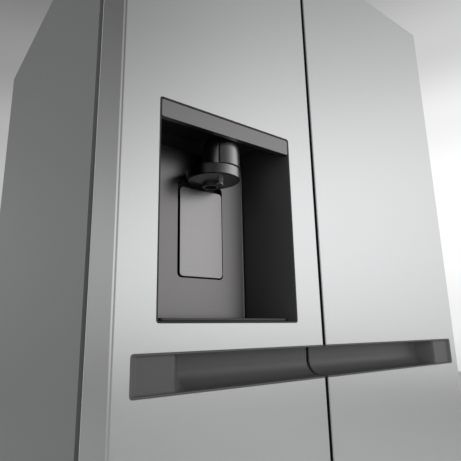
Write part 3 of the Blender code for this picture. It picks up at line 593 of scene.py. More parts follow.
# %% Lay the floor
FLOOR_RADIUS = 9.0
FLOOR_RINGS = (0.6, 2.0, 4.5, FLOOR_RADIUS)
FLOOR_SIDES = 96
floor_mesh = bmesh.new()
rings = [
    [
        floor_mesh.verts.new((reach * math.cos(turn), reach * math.sin(turn), 0.0))
        for turn in (2 * math.pi * i / FLOOR_SIDES for i in range(FLOOR_SIDES))
    ]
    for reach in FLOOR_RINGS
]
floor_mesh.faces.new(rings[0])
for inner, outer in zip(rings, rings[1:]):
    bridge(floor_mesh, inner, outer)
bmesh.ops.recalc_face_normals(floor_mesh, faces=floor_mesh.faces)
floor_data = bpy.data.meshes.new("studio_floor")
floor_mesh.to_mesh(floor_data)
floor_mesh.free()
floor = bpy.data.objects.new("studio_floor", floor_data)
bpy.context.scene.collection.objects.link(floor)
FLOOR_FINISH = moulded("pale_floor", (0.88, 0.88, 0.88), (0.91, 0.91, 0.91), (0.55, 0.65), 14.0, 0.0002)
floor_data.materials.append(FLOOR_FINISH)
print(f"floor: a disc {2 * FLOOR_RADIUS:.0f} m across")


# %% [markdown]
# ## Doors
#
# The doors are folded steel skins: the front sheet turns round each long edge
# in a tight bend, and only the long edges catch a bright line. A plain box
# with a bevel would round every edge alike, so the skin is lofted from a plan
# outline with its own radius at the front and at the back. Openings are cut
# with a boolean that is applied at once, and a fine bevel eases what is left.

# %% Cut helpers
def carve(bm, *cutters):
    """Cut closed bmeshes out of a closed bmesh and return what is left."""
    def as_object(source):
        bmesh.ops.recalc_face_normals(source, faces=source.faces)
        mesh = bpy.data.meshes.new("carving")
        source.to_mesh(mesh)
        source.free()
        made = bpy.data.objects.new("carving", mesh)
        bpy.context.scene.collection.objects.link(made)
        return made

    block = as_object(bm)
    tools = [as_object(cutter) for cutter in cutters]
    for tool in tools:
        cut = block.modifiers.new("cut", "BOOLEAN")
        cut.object = tool
        cut.solver = "EXACT"
    result = bmesh.new()
    result.from_object(block, bpy.context.evaluated_depsgraph_get())
    for spare in [block, *tools]:
        mesh = spare.data
        bpy.data.objects.remove(spare)
        bpy.data.meshes.remove(mesh)
    bmesh.ops.remove_doubles(result, verts=result.verts, dist=1e-6)
    return result


def plan_outline(low, high, left_radius, right_radius, back_radius, steps=6):
    """A door's outline from above, with its own radius at each front corner and at the back corners."""
    points = arc((low.x + left_radius, low.y + left_radius), left_radius, 180, 270, steps)
    points += arc((high.x - right_radius, low.y + right_radius), right_radius, 270, 360, steps)
    points += arc((high.x - back_radius, high.y - back_radius), back_radius, 0, 90, 3)
    return points + arc((low.x + back_radius, high.y - back_radius), back_radius, 90, 180, 3)


# %% Fold the door skins
SKIN_BEND = 0.0048
SKIN_EDGE = 0.0005
SEAM_BEND = 0.0018
SKIN_RETURN = 0.0012
HOLE_CORNER = 0.0046
FIT = 0.0005
CUT_PAST = 0.02
HOLLOW_DEPTH = 0.012
SKIN_WALL = 0.0016


def door_blank(node_name):
    """The folded skin of one door, closed at its top and bottom."""
    low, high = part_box(node_name)
    bends = (SKIN_BEND, SEAM_BEND) if "left" in node_name else (SEAM_BEND, SKIN_BEND)
    outline = plan_outline(low, high, *bends, SKIN_RETURN)
    bm = bmesh.new()
    rings = [place_ring(bm, outline, "xy", low.z), place_ring(bm, outline, "xy", high.z)]
    stack(bm, rings)
    return bm


def pocket_cut(node_name):
    """The slot that a pull pocket sits in, open towards the other door."""
    low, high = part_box(node_name)
    grow = Vector((FIT, 0, FIT))
    low, high = low - grow, high + grow
    if "left" in node_name:
        high.x += CUT_PAST
    else:
        low.x -= CUT_PAST
    low.y -= CUT_PAST
    return slab(low, high, HOLE_CORNER, CUT_EDGE)


def back_pocket(node_name):
    """The hollow behind a skin, which the foam and the liner fill."""
    low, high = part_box(node_name)
    return slab((low.x + SKIN_WALL, high.y - HOLLOW_DEPTH, low.z + SKIN_WALL),
                (high.x - SKIN_WALL, high.y + CUT_PAST, high.z - SKIN_WALL), 0.001, CUT_EDGE)


hole_low, hole_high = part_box("dispenser_housing")
hole = slab(hole_low - Vector((FIT, 0.02, FIT)), hole_high + Vector((FIT, 0.05, FIT)), HOLE_CORNER, CUT_EDGE)
left_skin = carve(door_blank("left_door_shell"), hole, pocket_cut("left_pocket"),
                  back_pocket("left_door_shell"))
piece("left_skin", left_skin, STEEL, "left_door", ["left_door_shell"], SKIN_EDGE)
right_skin = carve(door_blank("right_door_shell"), pocket_cut("right_pocket"),
                   back_pocket("right_door_shell"))
piece("right_skin", right_skin, STEEL, "right_door", ["right_door_shell"], SKIN_EDGE)
print(f"two door skins with {1000 * SKIN_BEND:.1f} mm bends")

# %% [markdown]
# The gap between the doors is narrow and dark. Bare steel on its two sides
# would pass light from skin to skin and turn the gap grey, so a thin black
# strip of painted shade lines the steel side of each door, above and below the pockets.

# %% Paint shade into the seam
TRIM_THICK = 0.0006
TRIM_SUNK = 0.0002
TRIM_END = 0.004
TRIM_BACK = 0.0020
# black strips of painted shade over the steel sides of the doors
for side, edge_x, turn in (("left", LEFT_HIGH.x, 1), ("right", RIGHT_LOW.x, -1)):
    pocket_low, pocket_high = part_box(f"{side}_pocket")
    shade_strips = bmesh.new()
    for foot, head in ((LEFT_LOW.z + TRIM_END, pocket_low.z - 0.001),
                       (pocket_high.z + 0.001, LEFT_HIGH.z - TRIM_END)):
        inner, outer = sorted((edge_x - turn * TRIM_SUNK, edge_x + turn * TRIM_THICK))
        shade_strips = merge(shade_strips, slab((inner, FRONT + TRIM_BACK, foot), (outer, LEFT_HIGH.y - 0.001, head),
                                    0.0002, CUT_EDGE, "xy"))
    piece(f"{side}_seam_painted_shade", shade_strips, BLACK, f"{side}_door")
print(f"seam trims {1000 * TRIM_THICK:.1f} mm thick")

# %% [markdown]
# Each door is pulled by a pocket: a dark moulded trough let in flush across
# the door, with a shallow shelf at its outer end and deep where the doors
# meet. A short ramp joins the two, so that a hand slides in. It could be cut
# from a block, but lofting one cross-section along the door lets the depth
# change smoothly, and that is what gives the ramp its soft shading.

# %% Mould the pull pockets
TROUGH_DEPTH = 0.0400
SHELF_DEPTH = 0.0045
SHELF_LENGTH = 0.066
RAMP_LENGTH = 0.034
TROUGH_RIM = 0.0022
TOP_FILLET = 0.0060
FOOT_FILLET = 0.0240
FRONT_INSET = 0.0003
STEP_START = 0.0025
STEP_RUN = 0.010
FILLET_LIMIT = 0.8


def trough(node_name, outer_end):
    """A pocket lofted along the door; outer_end is the x that it starts from."""
    low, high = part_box(node_name)
    inner_end = high.x if outer_end < (low.x + high.x) / 2 else low.x
    length = abs(inner_end - outer_end)
    heading = 1 if inner_end > outer_end else -1
    front = low.y + FRONT_INSET
    bm = bmesh.new()
    rings = []
    stations = [0.0, 0.0005, 0.0030] + [0.003 + STEP_RUN * i / 5 for i in range(1, 6)]
    stations += [SHELF_LENGTH + RAMP_LENGTH * i / 14 for i in range(15)] + [length * 0.5, length]
    for reach in stations:
        step_in = min(max((reach - STEP_START) / STEP_RUN, 0.0), 1.0)
        share = min(max((reach - SHELF_LENGTH) / RAMP_LENGTH, 0.0), 1.0)
        share = share * share * (3 - 2 * share)
        deep = (TROUGH_DEPTH - SHELF_DEPTH) * share
        depth = FRONT_INSET + SHELF_DEPTH * math.sin(step_in * math.pi / 2) + deep
        top_fillet = min(TOP_FILLET, depth * FILLET_LIMIT)
        foot_fillet = min(FOOT_FILLET, depth * FILLET_LIMIT)
        floor_y = front + depth
        base, top = low.z + TROUGH_RIM, high.z - TROUGH_RIM
        outline = [(high.y, low.z), (front, low.z), (front, base)]
        outline += [
            (floor_y - foot_fillet * (1 - math.sin(turn)), base + foot_fillet * (1 - math.cos(turn)))
            for turn in (math.pi / 20 * k for k in range(11))
        ]
        outline += [
            (floor_y - top_fillet * (1 - math.cos(turn)), top - top_fillet * (1 - math.sin(turn)))
            for turn in (math.pi / 12 * k for k in range(7))
        ]
        outline += [(front, top), (front, high.z), (high.y, high.z)]
        rings.append([bm.verts.new((outer_end + heading * reach, y, z)) for y, z in outline])
    stack(bm, rings)
    return bm


for side in ("left", "right"):
    low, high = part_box(f"{side}_pocket")
    outer = low[0] if side == "left" else high[0]
    piece(f"{side}_trough", trough(f"{side}_pocket", outer), TROUGH, f"{side}_door",
          [f"{side}_pocket"], SOFT_EDGE)
print(f"pull pockets {1000 * TROUGH_DEPTH:.0f} mm deep, ramped over {1000 * RAMP_LENGTH:.0f} mm")


# %% [markdown]
# ## Dispenser
#
# The dispenser is a deep dark recess behind a thin flush lip. Its back is a
# separate panel that bends gently, and its right side is a wall that slants
# out to the front. A box with its front face inset would give square walls,
# so a tapered block is carved from the housing instead, and the rounded
# corners of the carving give the lip its soft line of light.

# %% Carve the recess housing
LIP = 0.0022
SEAM_X = RECESS_LOW.x + 0.2376
RECESS_BACK = 0.0026
RECESS_REAR = RECESS_HIGH.y - RECESS_BACK
SLANT_LEFT = 0.030
STRIP_FIT = 0.0006
CEILING = FASCIA_HIGH.z
PANEL_TOP = FASCIA_LOW.z - 0.0024


def tapered(front_low, front_high, rear_low, rear_high, front_y, rear_y, radius):
    """A tapered block between a front and a rear opening, given as (x, z) corners."""
    bm = bmesh.new()
    rings = []
    for low, high, y in ((front_low, front_high, front_y), (rear_low, rear_high, rear_y)):
        rings.append(place_ring(bm, rounded_ring(low, high, radius, 4), "xz", y))
    stack(bm, rings)
    return bm


mouth_low = (RECESS_LOW.x + LIP, RECESS_LOW.z + LIP)
mouth_high = (RECESS_HIGH.x - LIP, CEILING)
rear_low = (RECESS_LOW.x + SLANT_LEFT, RECESS_LOW.z + LIP + 0.001)
rear_high = (SEAM_X, CEILING)
block = slab(RECESS_LOW, RECESS_HIGH, HOLE_CORNER - FIT, 0.0006)
throat = tapered(mouth_low, mouth_high, rear_low, rear_high, RECESS_LOW.y - 0.0001, RECESS_REAR, 0.0018)
strip_slot = slab((FASCIA_LOW.x - STRIP_FIT, RECESS_LOW.y - 0.01, FASCIA_LOW.z - 0.0004),
                  (FASCIA_HIGH.x + STRIP_FIT, FASCIA_HIGH.y + STRIP_FIT, FASCIA_HIGH.z + STRIP_FIT),
                  0.002, CUT_EDGE)
piece("recess_housing", carve(block, throat, strip_slot), HOUSING, "left_door",
      ["dispenser_housing"], SOFT_EDGE)
print(f"recess {1000 * (RECESS_REAR - RECESS_LOW.y):.0f} mm deep")

# %% Fit the fascia strip
strip = slab(FASCIA_LOW + Vector((0, 0.0002, 0)), FASCIA_HIGH, 0.0026, 0.0005)
piece("fascia_strip", strip, GUNMETAL, "left_door", ["dispenser_fascia"])
print(f"fascia {1000 * (FASCIA_HIGH.z - FASCIA_LOW.z):.0f} mm high")

# %% [markdown]
# The back panel stands proud of the recess's back, and the paddle hangs in a
# window cut through it. Seen from above the panel is nearly flat behind the
# paddle and then leans forward to a small bead along the slanted wall. A
# subdivided plane could be pushed about by hand, but an outline swept upwards
# from a simple curve keeps the surface fair. The window is carved afterwards.

# %% Bend the back panel
PADDLE_LOW, PADDLE_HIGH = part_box("dispense_paddle")
PANEL_FACE = PADDLE_LOW.y + 0.0012
PANEL_BEND_X = PADDLE_HIGH.x - 0.020
PANEL_LEAN = 0.0025
BEAD_WIDTH = 0.0030
BEAD_RISE = 0.0010
WINDOW_SIDE = 0.0042
WINDOW_FOOT = 0.0024
WINDOW_EDGE = 0.0016
WINDOW_HEAD = 0.012
WINDOW_CORNER = 0.0085
PANEL_STEPS = 30


def panel_depth(x):
    """How far back the panel's face stands at a place across the recess."""
    share = max((x - PANEL_BEND_X) / (SEAM_X - PANEL_BEND_X), 0.0)
    return PANEL_FACE - PANEL_LEAN * share ** 2


def bent_panel(left, right, foot, head):
    """The panel as a solid swept upwards from its bent outline."""
    across = [left + (right - left) * i / PANEL_STEPS for i in range(PANEL_STEPS + 1)]
    outline = [(x, panel_depth(x)) for x in across[:-2]]
    bead_x = right - BEAD_WIDTH
    outline += [
        (bead_x + BEAD_WIDTH * (1 - math.cos(turn)) / 2, panel_depth(bead_x) - BEAD_RISE * math.sin(turn))
        for turn in (math.pi * i / 8 for i in range(8))
    ]
    outline += [(right, panel_depth(right)), (right, RECESS_REAR - 0.0002), (left, RECESS_REAR - 0.0002)]
    bm = bmesh.new()
    rings = [place_ring(bm, outline, "xy", foot), place_ring(bm, outline, "xy", head)]
    stack(bm, rings)
    return bm


panel = bent_panel(RECESS_LOW.x + 0.031, SEAM_X - 0.0006, RECESS_LOW.z + LIP + 0.0014, PANEL_TOP)
window = slab((PADDLE_LOW.x - WINDOW_SIDE, PANEL_FACE - 0.01, PADDLE_LOW.z - WINDOW_FOOT),
              (PADDLE_HIGH.x + WINDOW_EDGE, RECESS_REAR + 0.001, PADDLE_HIGH.z + WINDOW_HEAD), WINDOW_CORNER,
              CUT_EDGE, steps=6)
# the panel's gunmetal is a darker copy: painted shade
piece("back_panel_bent", carve(panel, window), GUNMETAL_PANEL_SHADED, "left_door", (), 0.0006)
print(f"back panel leans {1000 * PANEL_LEAN:.1f} mm forward at its seam")

# %% [markdown]
# The paddle is a thin sprung plate that a glass pushes back. It could be cut
# from the panel's own mesh, but it moves on its own hinge, so it is its own
# piece: a slab with round corners, dished by a millimetre so that light
# rolls across it.

# %% Press the paddle
DISH_DEPTH = 0.0010
DISH_REACH = 0.002
paddle = slab(PADDLE_LOW, PADDLE_HIGH, 0.0070, 0.0009, steps=6)
bmesh.ops.subdivide_edges(paddle, edges=[e for e in paddle.edges if e.calc_length() > 0.03], cuts=8,
                          use_grid_fill=True)
for vert in paddle.verts:
    across = (vert.co.x - PADDLE_LOW.x) / (PADDLE_HIGH.x - PADDLE_LOW.x) * 2 - 1
    if vert.co.y < PADDLE_LOW.y + DISH_REACH:
        vert.co.y += DISH_DEPTH * (1 - across * across)
# the paddle's gunmetal is a paler copy: painted light
piece("paddle_plate", paddle, GUNMETAL_PLATE_LIT, "paddle", ["dispense_paddle"])
print(f"paddle {1000 * (PADDLE_HIGH.x - PADDLE_LOW.x):.0f} mm wide")

# %% [markdown]
# Ice falls from a short round spout: a domed cap over a ring with a stepped
# chute, and beside it a bright tube for water. All three are turned shapes,
# so each is a profile spun round its own axis. The cap is in two shells with
# a seam down the front, which is a carved slot and not a painted line. The
# metal of the cap and of the band carries painted shade on the left that runs
# to painted light on the right. A lamp could draw that, but so small a piece
# would need a lamp of its own.

# %% Paint shade and light on the spout metal
def painted_shade_to_light(name, dark, pale, start, end):
    """A brushed finish with painted shade on the left that runs to painted light on the right across the
    piece.
    """
    made = brushed(name, dark, pale, (0.28, 0.34), (1.0, 1.0, 60.0))
    tree = made.node_tree
    shader = next(n for n in tree.nodes if n.type == "BSDF_PRINCIPLED")
    across = node(tree, "ShaderNodeSeparateXYZ")
    tree.links.new(node(tree, "ShaderNodeTexCoord").outputs["Object"], across.inputs[0])
    share = node(tree, "ShaderNodeMapRange")
    share.interpolation_type = "SMOOTHSTEP"
    share.inputs["From Min"].default_value = start
    share.inputs["From Max"].default_value = end
    tree.links.new(across.outputs["X"], share.inputs["Value"])
    tree.links.new(tint(tree, share.outputs["Result"], dark, pale), shader.inputs["Base Color"])
    return made


# %% Turn the spout
DOME_SHOULDER = 0.46
DOME_ROUND = 0.8
DOME_STEPS = 14
SEAM_TURN = math.radians(-134)
SEAM_HALF = 0.0018
ARM_HALF = 0.015
CORE_INSET = 0.0036
CHUTE_WALL = 0.004
CHUTE_DEPTH = 0.018
DOME_LOW, DOME_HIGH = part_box("spout_dome")
RING_LOW, RING_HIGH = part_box("spout_ring")
RING_SIZE = (RING_HIGH.x - RING_LOW.x) / 2
RING_CENTRE = Vector(((RING_LOW.x + RING_HIGH.x) / 2, (RING_LOW.y + RING_HIGH.y) / 2, 0))
DOME_SIZE = (DOME_HIGH.x - DOME_LOW.x) / 2
DOME_CENTRE = Vector(((DOME_LOW.x + DOME_HIGH.x) / 2, DOME_LOW.y + DOME_SIZE, 0))
# painted shade on the left of the spout band and cap, painted light on their right
SPOUT_PAINTED_SHADING = painted_shade_to_light("spout_metal_painted_shading", (0.016, 0.016, 0.016), (0.46, 0.453, 0.457), RING_CENTRE.x - 0.044,
                       RING_CENTRE.x + 0.036)
CAP_PAINTED_SHADING = painted_shade_to_light("spout_cap_painted_shading", (0.150, 0.147, 0.149), (0.50, 0.493, 0.497), DOME_CENTRE.x - 0.020,
                     DOME_CENTRE.x + 0.024)
rise = DOME_HIGH.z - DOME_LOW.z
dome_profile = [(0, DOME_LOW.z), (DOME_SIZE - 0.001, DOME_LOW.z), (DOME_SIZE, DOME_LOW.z + 0.001),
                (DOME_SIZE, DOME_LOW.z + rise * DOME_SHOULDER)]
dome_profile += [(DOME_SIZE * math.cos(turn) ** DOME_ROUND,
                  DOME_LOW.z + rise * (DOME_SHOULDER + (1 - DOME_SHOULDER) * math.sin(turn)))
                 for turn in (math.pi / 2 * i / DOME_STEPS for i in range(1, DOME_STEPS))]
dome_profile.append((0, DOME_HIGH.z))
dome = turned(dome_profile, DOME_CENTRE, sides=96)
seam_at = DOME_CENTRE + Vector((math.cos(SEAM_TURN), math.sin(SEAM_TURN), 0)) * DOME_SIZE
seam_slot = slab((seam_at.x - SEAM_HALF, seam_at.y - 0.02, DOME_LOW.z - 0.001),
                 (seam_at.x + SEAM_HALF, seam_at.y + 0.0016, DOME_HIGH.z + 0.001), 0.0002, CUT_EDGE)
arm = slab((DOME_CENTRE.x - ARM_HALF, DOME_CENTRE.y, DOME_LOW.z + 0.002),
           (DOME_CENTRE.x + ARM_HALF, RECESS_REAR, DOME_LOW.z + 0.012), 0.003, 0.0006)
piece("spout_cap", merge(carve(dome, seam_slot), arm), CAP_PAINTED_SHADING, "left_door", ["spout_dome"],
      SOFT_EDGE)

lip_radius = RING_SIZE - 0.015
core_profile = [
    (0, RING_LOW.z + 0.006), (RING_SIZE - CORE_INSET, RING_LOW.z + 0.006),
    (RING_SIZE - CORE_INSET, RING_HIGH.z - 0.0034), (lip_radius + 0.004, RING_HIGH.z - 0.0030),
    (lip_radius + 0.003, RING_HIGH.z), (0, RING_HIGH.z),
]
CHUTE_CENTRE = RING_CENTRE + Vector((0.005, 0.014, 0))
CHUTE_SIZE = 0.0150
chute_bore = turned([(0, RING_LOW.z - 0.001), (CHUTE_SIZE - CHUTE_WALL, RING_LOW.z - 0.001),
                     (CHUTE_SIZE - CHUTE_WALL, RING_LOW.z + CHUTE_DEPTH), (0, RING_LOW.z + CHUTE_DEPTH)],
                    CHUTE_CENTRE, sides=48)
chute_rim = turned([(CHUTE_SIZE - 0.0035, RING_LOW.z), (CHUTE_SIZE - 0.001, RING_LOW.z),
                    (CHUTE_SIZE, RING_LOW.z + 0.001), (CHUTE_SIZE + 0.0005, RING_LOW.z + 0.007),
                    (CHUTE_SIZE - 0.0035, RING_LOW.z + 0.007)],
                   CHUTE_CENTRE, sides=64)
piece("spout_core", merge(carve(turned(core_profile, RING_CENTRE, sides=96), chute_bore), chute_rim), SPOUT,
      "left_door", ["spout_ring"])
band_profile = [
    (RING_SIZE - 0.0034, RING_LOW.z + 0.0064), (RING_SIZE - 0.0008, RING_LOW.z + 0.0072),
    (RING_SIZE, RING_LOW.z + 0.0095), (RING_SIZE, RING_HIGH.z - 0.0056),
    (RING_SIZE - 0.0010, RING_HIGH.z - 0.0046), (RING_SIZE - 0.0034, RING_HIGH.z - 0.0046),
]
piece("spout_band", turned(band_profile, RING_CENTRE, sides=96), SPOUT_PAINTED_SHADING, "left_door")

NOZZLE_LOW, NOZZLE_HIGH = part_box("water_nozzle")
nozzle_size = (NOZZLE_HIGH.x - NOZZLE_LOW.x) / 2
nozzle_centre = Vector(((NOZZLE_LOW.x + NOZZLE_HIGH.x) / 2, (NOZZLE_LOW.y + NOZZLE_HIGH.y) / 2, 0))
nozzle_profile = [
    (nozzle_size * 0.62, NOZZLE_LOW.z + 0.0004), (nozzle_size * 0.85, NOZZLE_LOW.z),
    (nozzle_size, NOZZLE_LOW.z + 0.0008), (nozzle_size, NOZZLE_HIGH.z), (nozzle_size * 0.6, NOZZLE_HIGH.z),
    (nozzle_size * 0.6, NOZZLE_LOW.z + 0.006),
]
piece("water_tube", turned(nozzle_profile, nozzle_centre, sides=48), CHROME, "left_door",
      ["water_nozzle"])
print(f"spout cap {2000 * DOME_SIZE:.0f} mm and collar {2000 * RING_SIZE:.0f} mm across")

# %% [markdown]
# A shallow slotted tray catches drips on the recess floor. Slots drawn with a
# texture would vanish at a low angle, so each one is carved. The tray stops
# short of the bent panel, so that it lifts out without touching it.

# %% Slot the drip tray
SLOT_WIDTH = 0.009
SLOT_DEPTH = 0.0022
SLOT_END = 0.014
TRAY_SIDE = 0.017
TRAY_CLEAR = 0.0008
TRAY_LOW, TRAY_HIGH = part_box("drip_tray")
SLOTS = 12
pitch = (TRAY_HIGH.x - TRAY_LOW.x - 0.030) / SLOTS
slots = [
    slab((TRAY_LOW.x + TRAY_SIDE + i * pitch, TRAY_LOW.y + SLOT_END, TRAY_HIGH.z - SLOT_DEPTH),
         (TRAY_LOW.x + TRAY_SIDE + i * pitch + SLOT_WIDTH, TRAY_HIGH.y - SLOT_END, TRAY_HIGH.z + 0.002),
         0.003, CUT_EDGE, "xy")
    for i in range(SLOTS)
]
tray_back = min(TRAY_HIGH.y, PANEL_FACE - PANEL_LEAN - BEAD_RISE - TRAY_CLEAR)
tray = slab(TRAY_LOW, Vector((TRAY_HIGH.x, tray_back, TRAY_HIGH.z)), 0.006, 0.0010, "xy")
print(f"tray stops {1000 * (TRAY_HIGH.y - tray_back):.1f} mm short of its box, clear of the bent panel")
piece("slotted_tray", carve(tray, *slots), DARK, "tray", ["drip_tray"], SOFT_EDGE)
print(f"drip tray with {SLOTS} slots")


# %% [markdown]
# ## Case
#
# The case is one folded wrapper with a painted, slightly pebbled surface, and
# its long edges are bent and not sharp. The carried-over solid has the right
# size, so it only needs an eased edge. A bevel that follows the edge angle
# does that without touching the solid's own points.

# %% Ease the carried-over solids
EASE_ANGLE = math.radians(50)


def ease(width, *nodes):
    """A narrow bevel on solids whose shape is already right."""
    for name in nodes:
        soft = NODES[name].modifiers.new("soft_edges", "BEVEL")
        soft.width = width
        soft.segments = 2
        soft.limit_method = "ANGLE"
        soft.angle_limit = EASE_ANGLE
        soft.harden_normals = True
        fair = NODES[name].modifiers.new("fair_normals", "WEIGHTED_NORMAL")
        fair.keep_sharp = True


ease(0.0008, "outer_case", "base_frame", "top_hinge_left", "top_hinge_right", "bottom_hinge_left",
     "bottom_hinge_right", "centre_mullion", "freezer_liner", "fridge_liner", "evaporator_cover")
print("eased edges on the case, brackets and liners")

# %% [markdown]
# Four small mouldings finish the case: two hinge covers on top, a slatted
# grille below the doors and a louvred cover over the machine space behind.
# Each is a rounded slab with its openings carved, because the shade inside a
# real slot follows the light, which a painted stripe does not.

# %% Mould the hinge covers
COVER_WALL = 0.003
SKIRT_INSET = 0.0015
GROOVE_SHARE = 0.42
GROOVE_WIDTH = 0.0016
for side in ("left", "right"):
    low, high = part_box(f"hinge_cover_{side}")
    cap_low = Vector((low.x, low.y, DOOR_HEAD + 0.0008))
    cap = slab(cap_low, high, 0.012, 0.004, "xy", 6)
    hollow = slab((low.x + COVER_WALL, low.y + COVER_WALL, cap_low.z - 0.01),
                  (high.x - COVER_WALL, high.y - COVER_WALL, high.z - 0.004), 0.009, 0.0005, "xy", 6)
    skirt = slab((low.x + SKIRT_INSET, CASE_LOW.y + 0.005, low.z),
                 (high.x - SKIRT_INSET, high.y - SKIRT_INSET, high.z - 0.006), 0.006, 0.0005, "xy")
    inner = slab((low.x + 0.0045, CASE_LOW.y + 0.008, low.z - 0.01),
                 (high.x - 0.0045, high.y - 0.0045, high.z - 0.0065), 0.004, 0.0003, "xy")
    groove_y = low.y + (high.y - low.y) * GROOVE_SHARE
    groove = slab((low.x - 0.01, groove_y, high.z - 0.0008),
                  (high.x + 0.01, groove_y + GROOVE_WIDTH, high.z + 0.01), 0.0004, CUT_EDGE, "xy")
    piece(f"hinge_cap_{side}", merge(carve(cap, hollow, groove), carve(skirt, inner)), DARK, "cabinet",
          [f"hinge_cover_{side}"], SOFT_EDGE)
print("two hinge covers")

# %% Slat the base grille
low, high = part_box("base_grille")
SLATS = 26
SLOT_SHARE = 0.62
ROW_PITCH = 0.026
ROW_HEIGHT = 0.015
pitch = (high.x - low.x - 0.060) / SLATS
slots = []
for row in range(2):
    base = low.z + 0.014 + row * ROW_PITCH
    slots += [
        slab((low.x + 0.034 + i * pitch, low.y - 0.01, base),
             (low.x + 0.034 + i * pitch + pitch * SLOT_SHARE, high.y - 0.0015, base + ROW_HEIGHT),
             0.004, CUT_EDGE)
        for i in range(SLATS)
    ]
piece("slatted_grille", carve(slab(low, high, 0.005, 0.0018), *slots), DARK, "grille",
      ["base_grille"], SOFT_EDGE)
print(f"grille with {2 * SLATS} slots")

# %% Louvre the machine cover
low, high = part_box("machine_cover")
LOUVRES = 11
COLUMNS = 4
LOUVRE_PITCH = 0.014
LOUVRE_HEIGHT = 0.0065
COVER_SIDE = 0.06
span = (high.x - low.x - 2 * COVER_SIDE) / COLUMNS
slots = []
for column in range(COLUMNS):
    start = low.x + COVER_SIDE + column * span
    slots += [
        slab((start + 0.012, low.y - 0.01, low.z + 0.032 + i * LOUVRE_PITCH),
             (start + span - 0.012, high.y + 0.01, low.z + 0.032 + i * LOUVRE_PITCH + LOUVRE_HEIGHT),
             0.003, CUT_EDGE)
        for i in range(LOUVRES)
    ]
gland_low, gland_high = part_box("power_gland")
clear = Vector((0.0012, 0.02, 0.0012))
slots.append(slab(gland_low - clear, gland_high + clear, 0.003, CUT_EDGE))
piece("louvred_cover", carve(slab(low, high, 0.004, 0.0006), *slots), DARK, "cabinet",
      ["machine_cover"], FINE_EDGE)
print(f"machine cover with {COLUMNS * LOUVRES} louvres")

# %% [markdown]
# The cabinet stands on two screw feet at the front and two rollers behind. A
# foot is a disc under a threaded stem, and a roller is a tyre round a hub.
# Both are turned: the profile is drawn once, and the thread comes from
# repeating a short step in it.

# %% Turn the feet and rollers
THREAD_PITCH = 0.003
ROOT_RADIUS = 0.0056
CREST_RADIUS = 0.0066
for side in ("left", "right"):
    low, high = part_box(f"levelling_foot_{side}")
    size = (high.x - low.x) / 2
    centre = Vector(((low.x + high.x) / 2, (low.y + high.y) / 2, 0))
    profile = [(0, low.z), (size - 0.002, low.z), (size, low.z + 0.002), (size, low.z + 0.010),
               (size - 0.002, low.z + 0.012), (0.009, low.z + 0.015)]
    threads = int((high.z - low.z - 0.018) / THREAD_PITCH)
    for turn in range(threads):
        base = low.z + 0.016 + turn * THREAD_PITCH
        profile += [(ROOT_RADIUS, base), (CREST_RADIUS, base + THREAD_PITCH / 2)]
    profile += [(ROOT_RADIUS, high.z - 0.001), (0.0048, high.z), (0, high.z)]
    piece(f"screw_foot_{side}", turned(profile, centre, sides=48), ZINC, f"foot_{side}",
          [f"levelling_foot_{side}"])
    low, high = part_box(f"rear_roller_{side}")
    size = (high.z - low.z) / 2
    wide = (high.x - low.x) / 2
    centre = (low + high) / 2
    profile = [(0.004, -wide), (0.010, -wide), (0.011, -wide + 0.003), (size - 0.006, -wide + 0.003),
               (size - 0.004, -wide), (size - 0.001, -wide + 0.001), (size, -wide + 0.003),
               (size, wide - 0.003), (size - 0.001, wide - 0.001), (size - 0.004, wide),
               (size - 0.006, wide - 0.003), (0.011, wide - 0.003), (0.010, wide), (0.004, wide)]
    piece(f"roller_{side}", turned(profile, centre, "x", 64), DARK, f"roller_{side}",
          [f"rear_roller_{side}"])
print("two feet and two rollers")

# %% [markdown]
# The back is one thin zinc sheet. A flat sheet that size would drum, so its
# maker presses shallow fields into it and leaves ribs between them, and
# screws it down at the sides and the top. The presses could be a bump texture, but
# the back is seen at a low angle, where only real depth catches the light.

# %% Press the back sheet
PRESS_DEPTH = 0.0011
BORDER = 0.045
RIB_HALF = 0.012
low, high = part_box("back_panel")
RIBS = 5
width = (high.x - low.x - 2 * BORDER) / RIBS
presses = []
for rib in range(RIBS):
    start = low.x + BORDER + rib * width
    for foot, head in ((low.z + 0.06, low.z + 0.70), (low.z + 0.74, high.z - 0.06)):
        presses.append(slab((start + RIB_HALF, high.y - PRESS_DEPTH, foot),
                            (start + width - RIB_HALF, high.y + 0.01, head), 0.020, 0.0008))
SCREW_RADIUS = 0.0045
SEAT_RADIUS = SCREW_RADIUS + 0.0010
screws = [(low.x + 0.018, low.z + 0.05 + i * 0.27) for i in range(6)]
screws += [(high.x - 0.018, z) for _, z in screws]
screws += [(low.x + 0.10 + i * 0.178, high.z - 0.016) for i in range(5)]
for x, z in screws:
    spot = Vector((x, high.y, z))
    presses.append(turned([(SEAT_RADIUS, -0.0012), (SEAT_RADIUS, 0.002), (0, 0.002), (0, -0.0012)],
                          spot - Vector((0, 0.0002, 0)), "y", 20))
sheet = slab(low, high, 0.0015, 0.0004)
heads = None
for x, z in screws:
    head = turned([(0, 0.0002), (SCREW_RADIUS * 0.7, 0.0002), (SCREW_RADIUS, 0.0008), (SCREW_RADIUS, 0.0016),
                   (0, 0.0016)], Vector((x, high.y, z)), "y", 20)
    cross = slab((x - 0.0026, high.y - 0.0006, z - 0.0004), (x + 0.0026, high.y + 0.001, z + 0.0004),
                 0.0001, CUT_EDGE)
    head = carve(head, cross)
    heads = head if heads is None else merge(heads, head)
piece("pressed_back", merge(carve(sheet, *presses), heads), ZINC, "cabinet", ["back_panel"],
      0.0002)
print(f"back sheet with {2 * RIBS} pressed fields and {len(screws)} screws")


# %% [markdown]
# ## Inside
#
# Drawers and door bins are thin trays with round corners, a rolled rim and a
# slight draught so that they leave the mould. A box with a shell modifier has
# no draught, so an outer and an inner block are lofted with their feet drawn
# in a little, and the inner one is carved out of the outer one.

# %% Mould the drawers and bins
DRAUGHT = 0.004
FOOT_INSET = 0.002
GRIP_HALF = 0.070


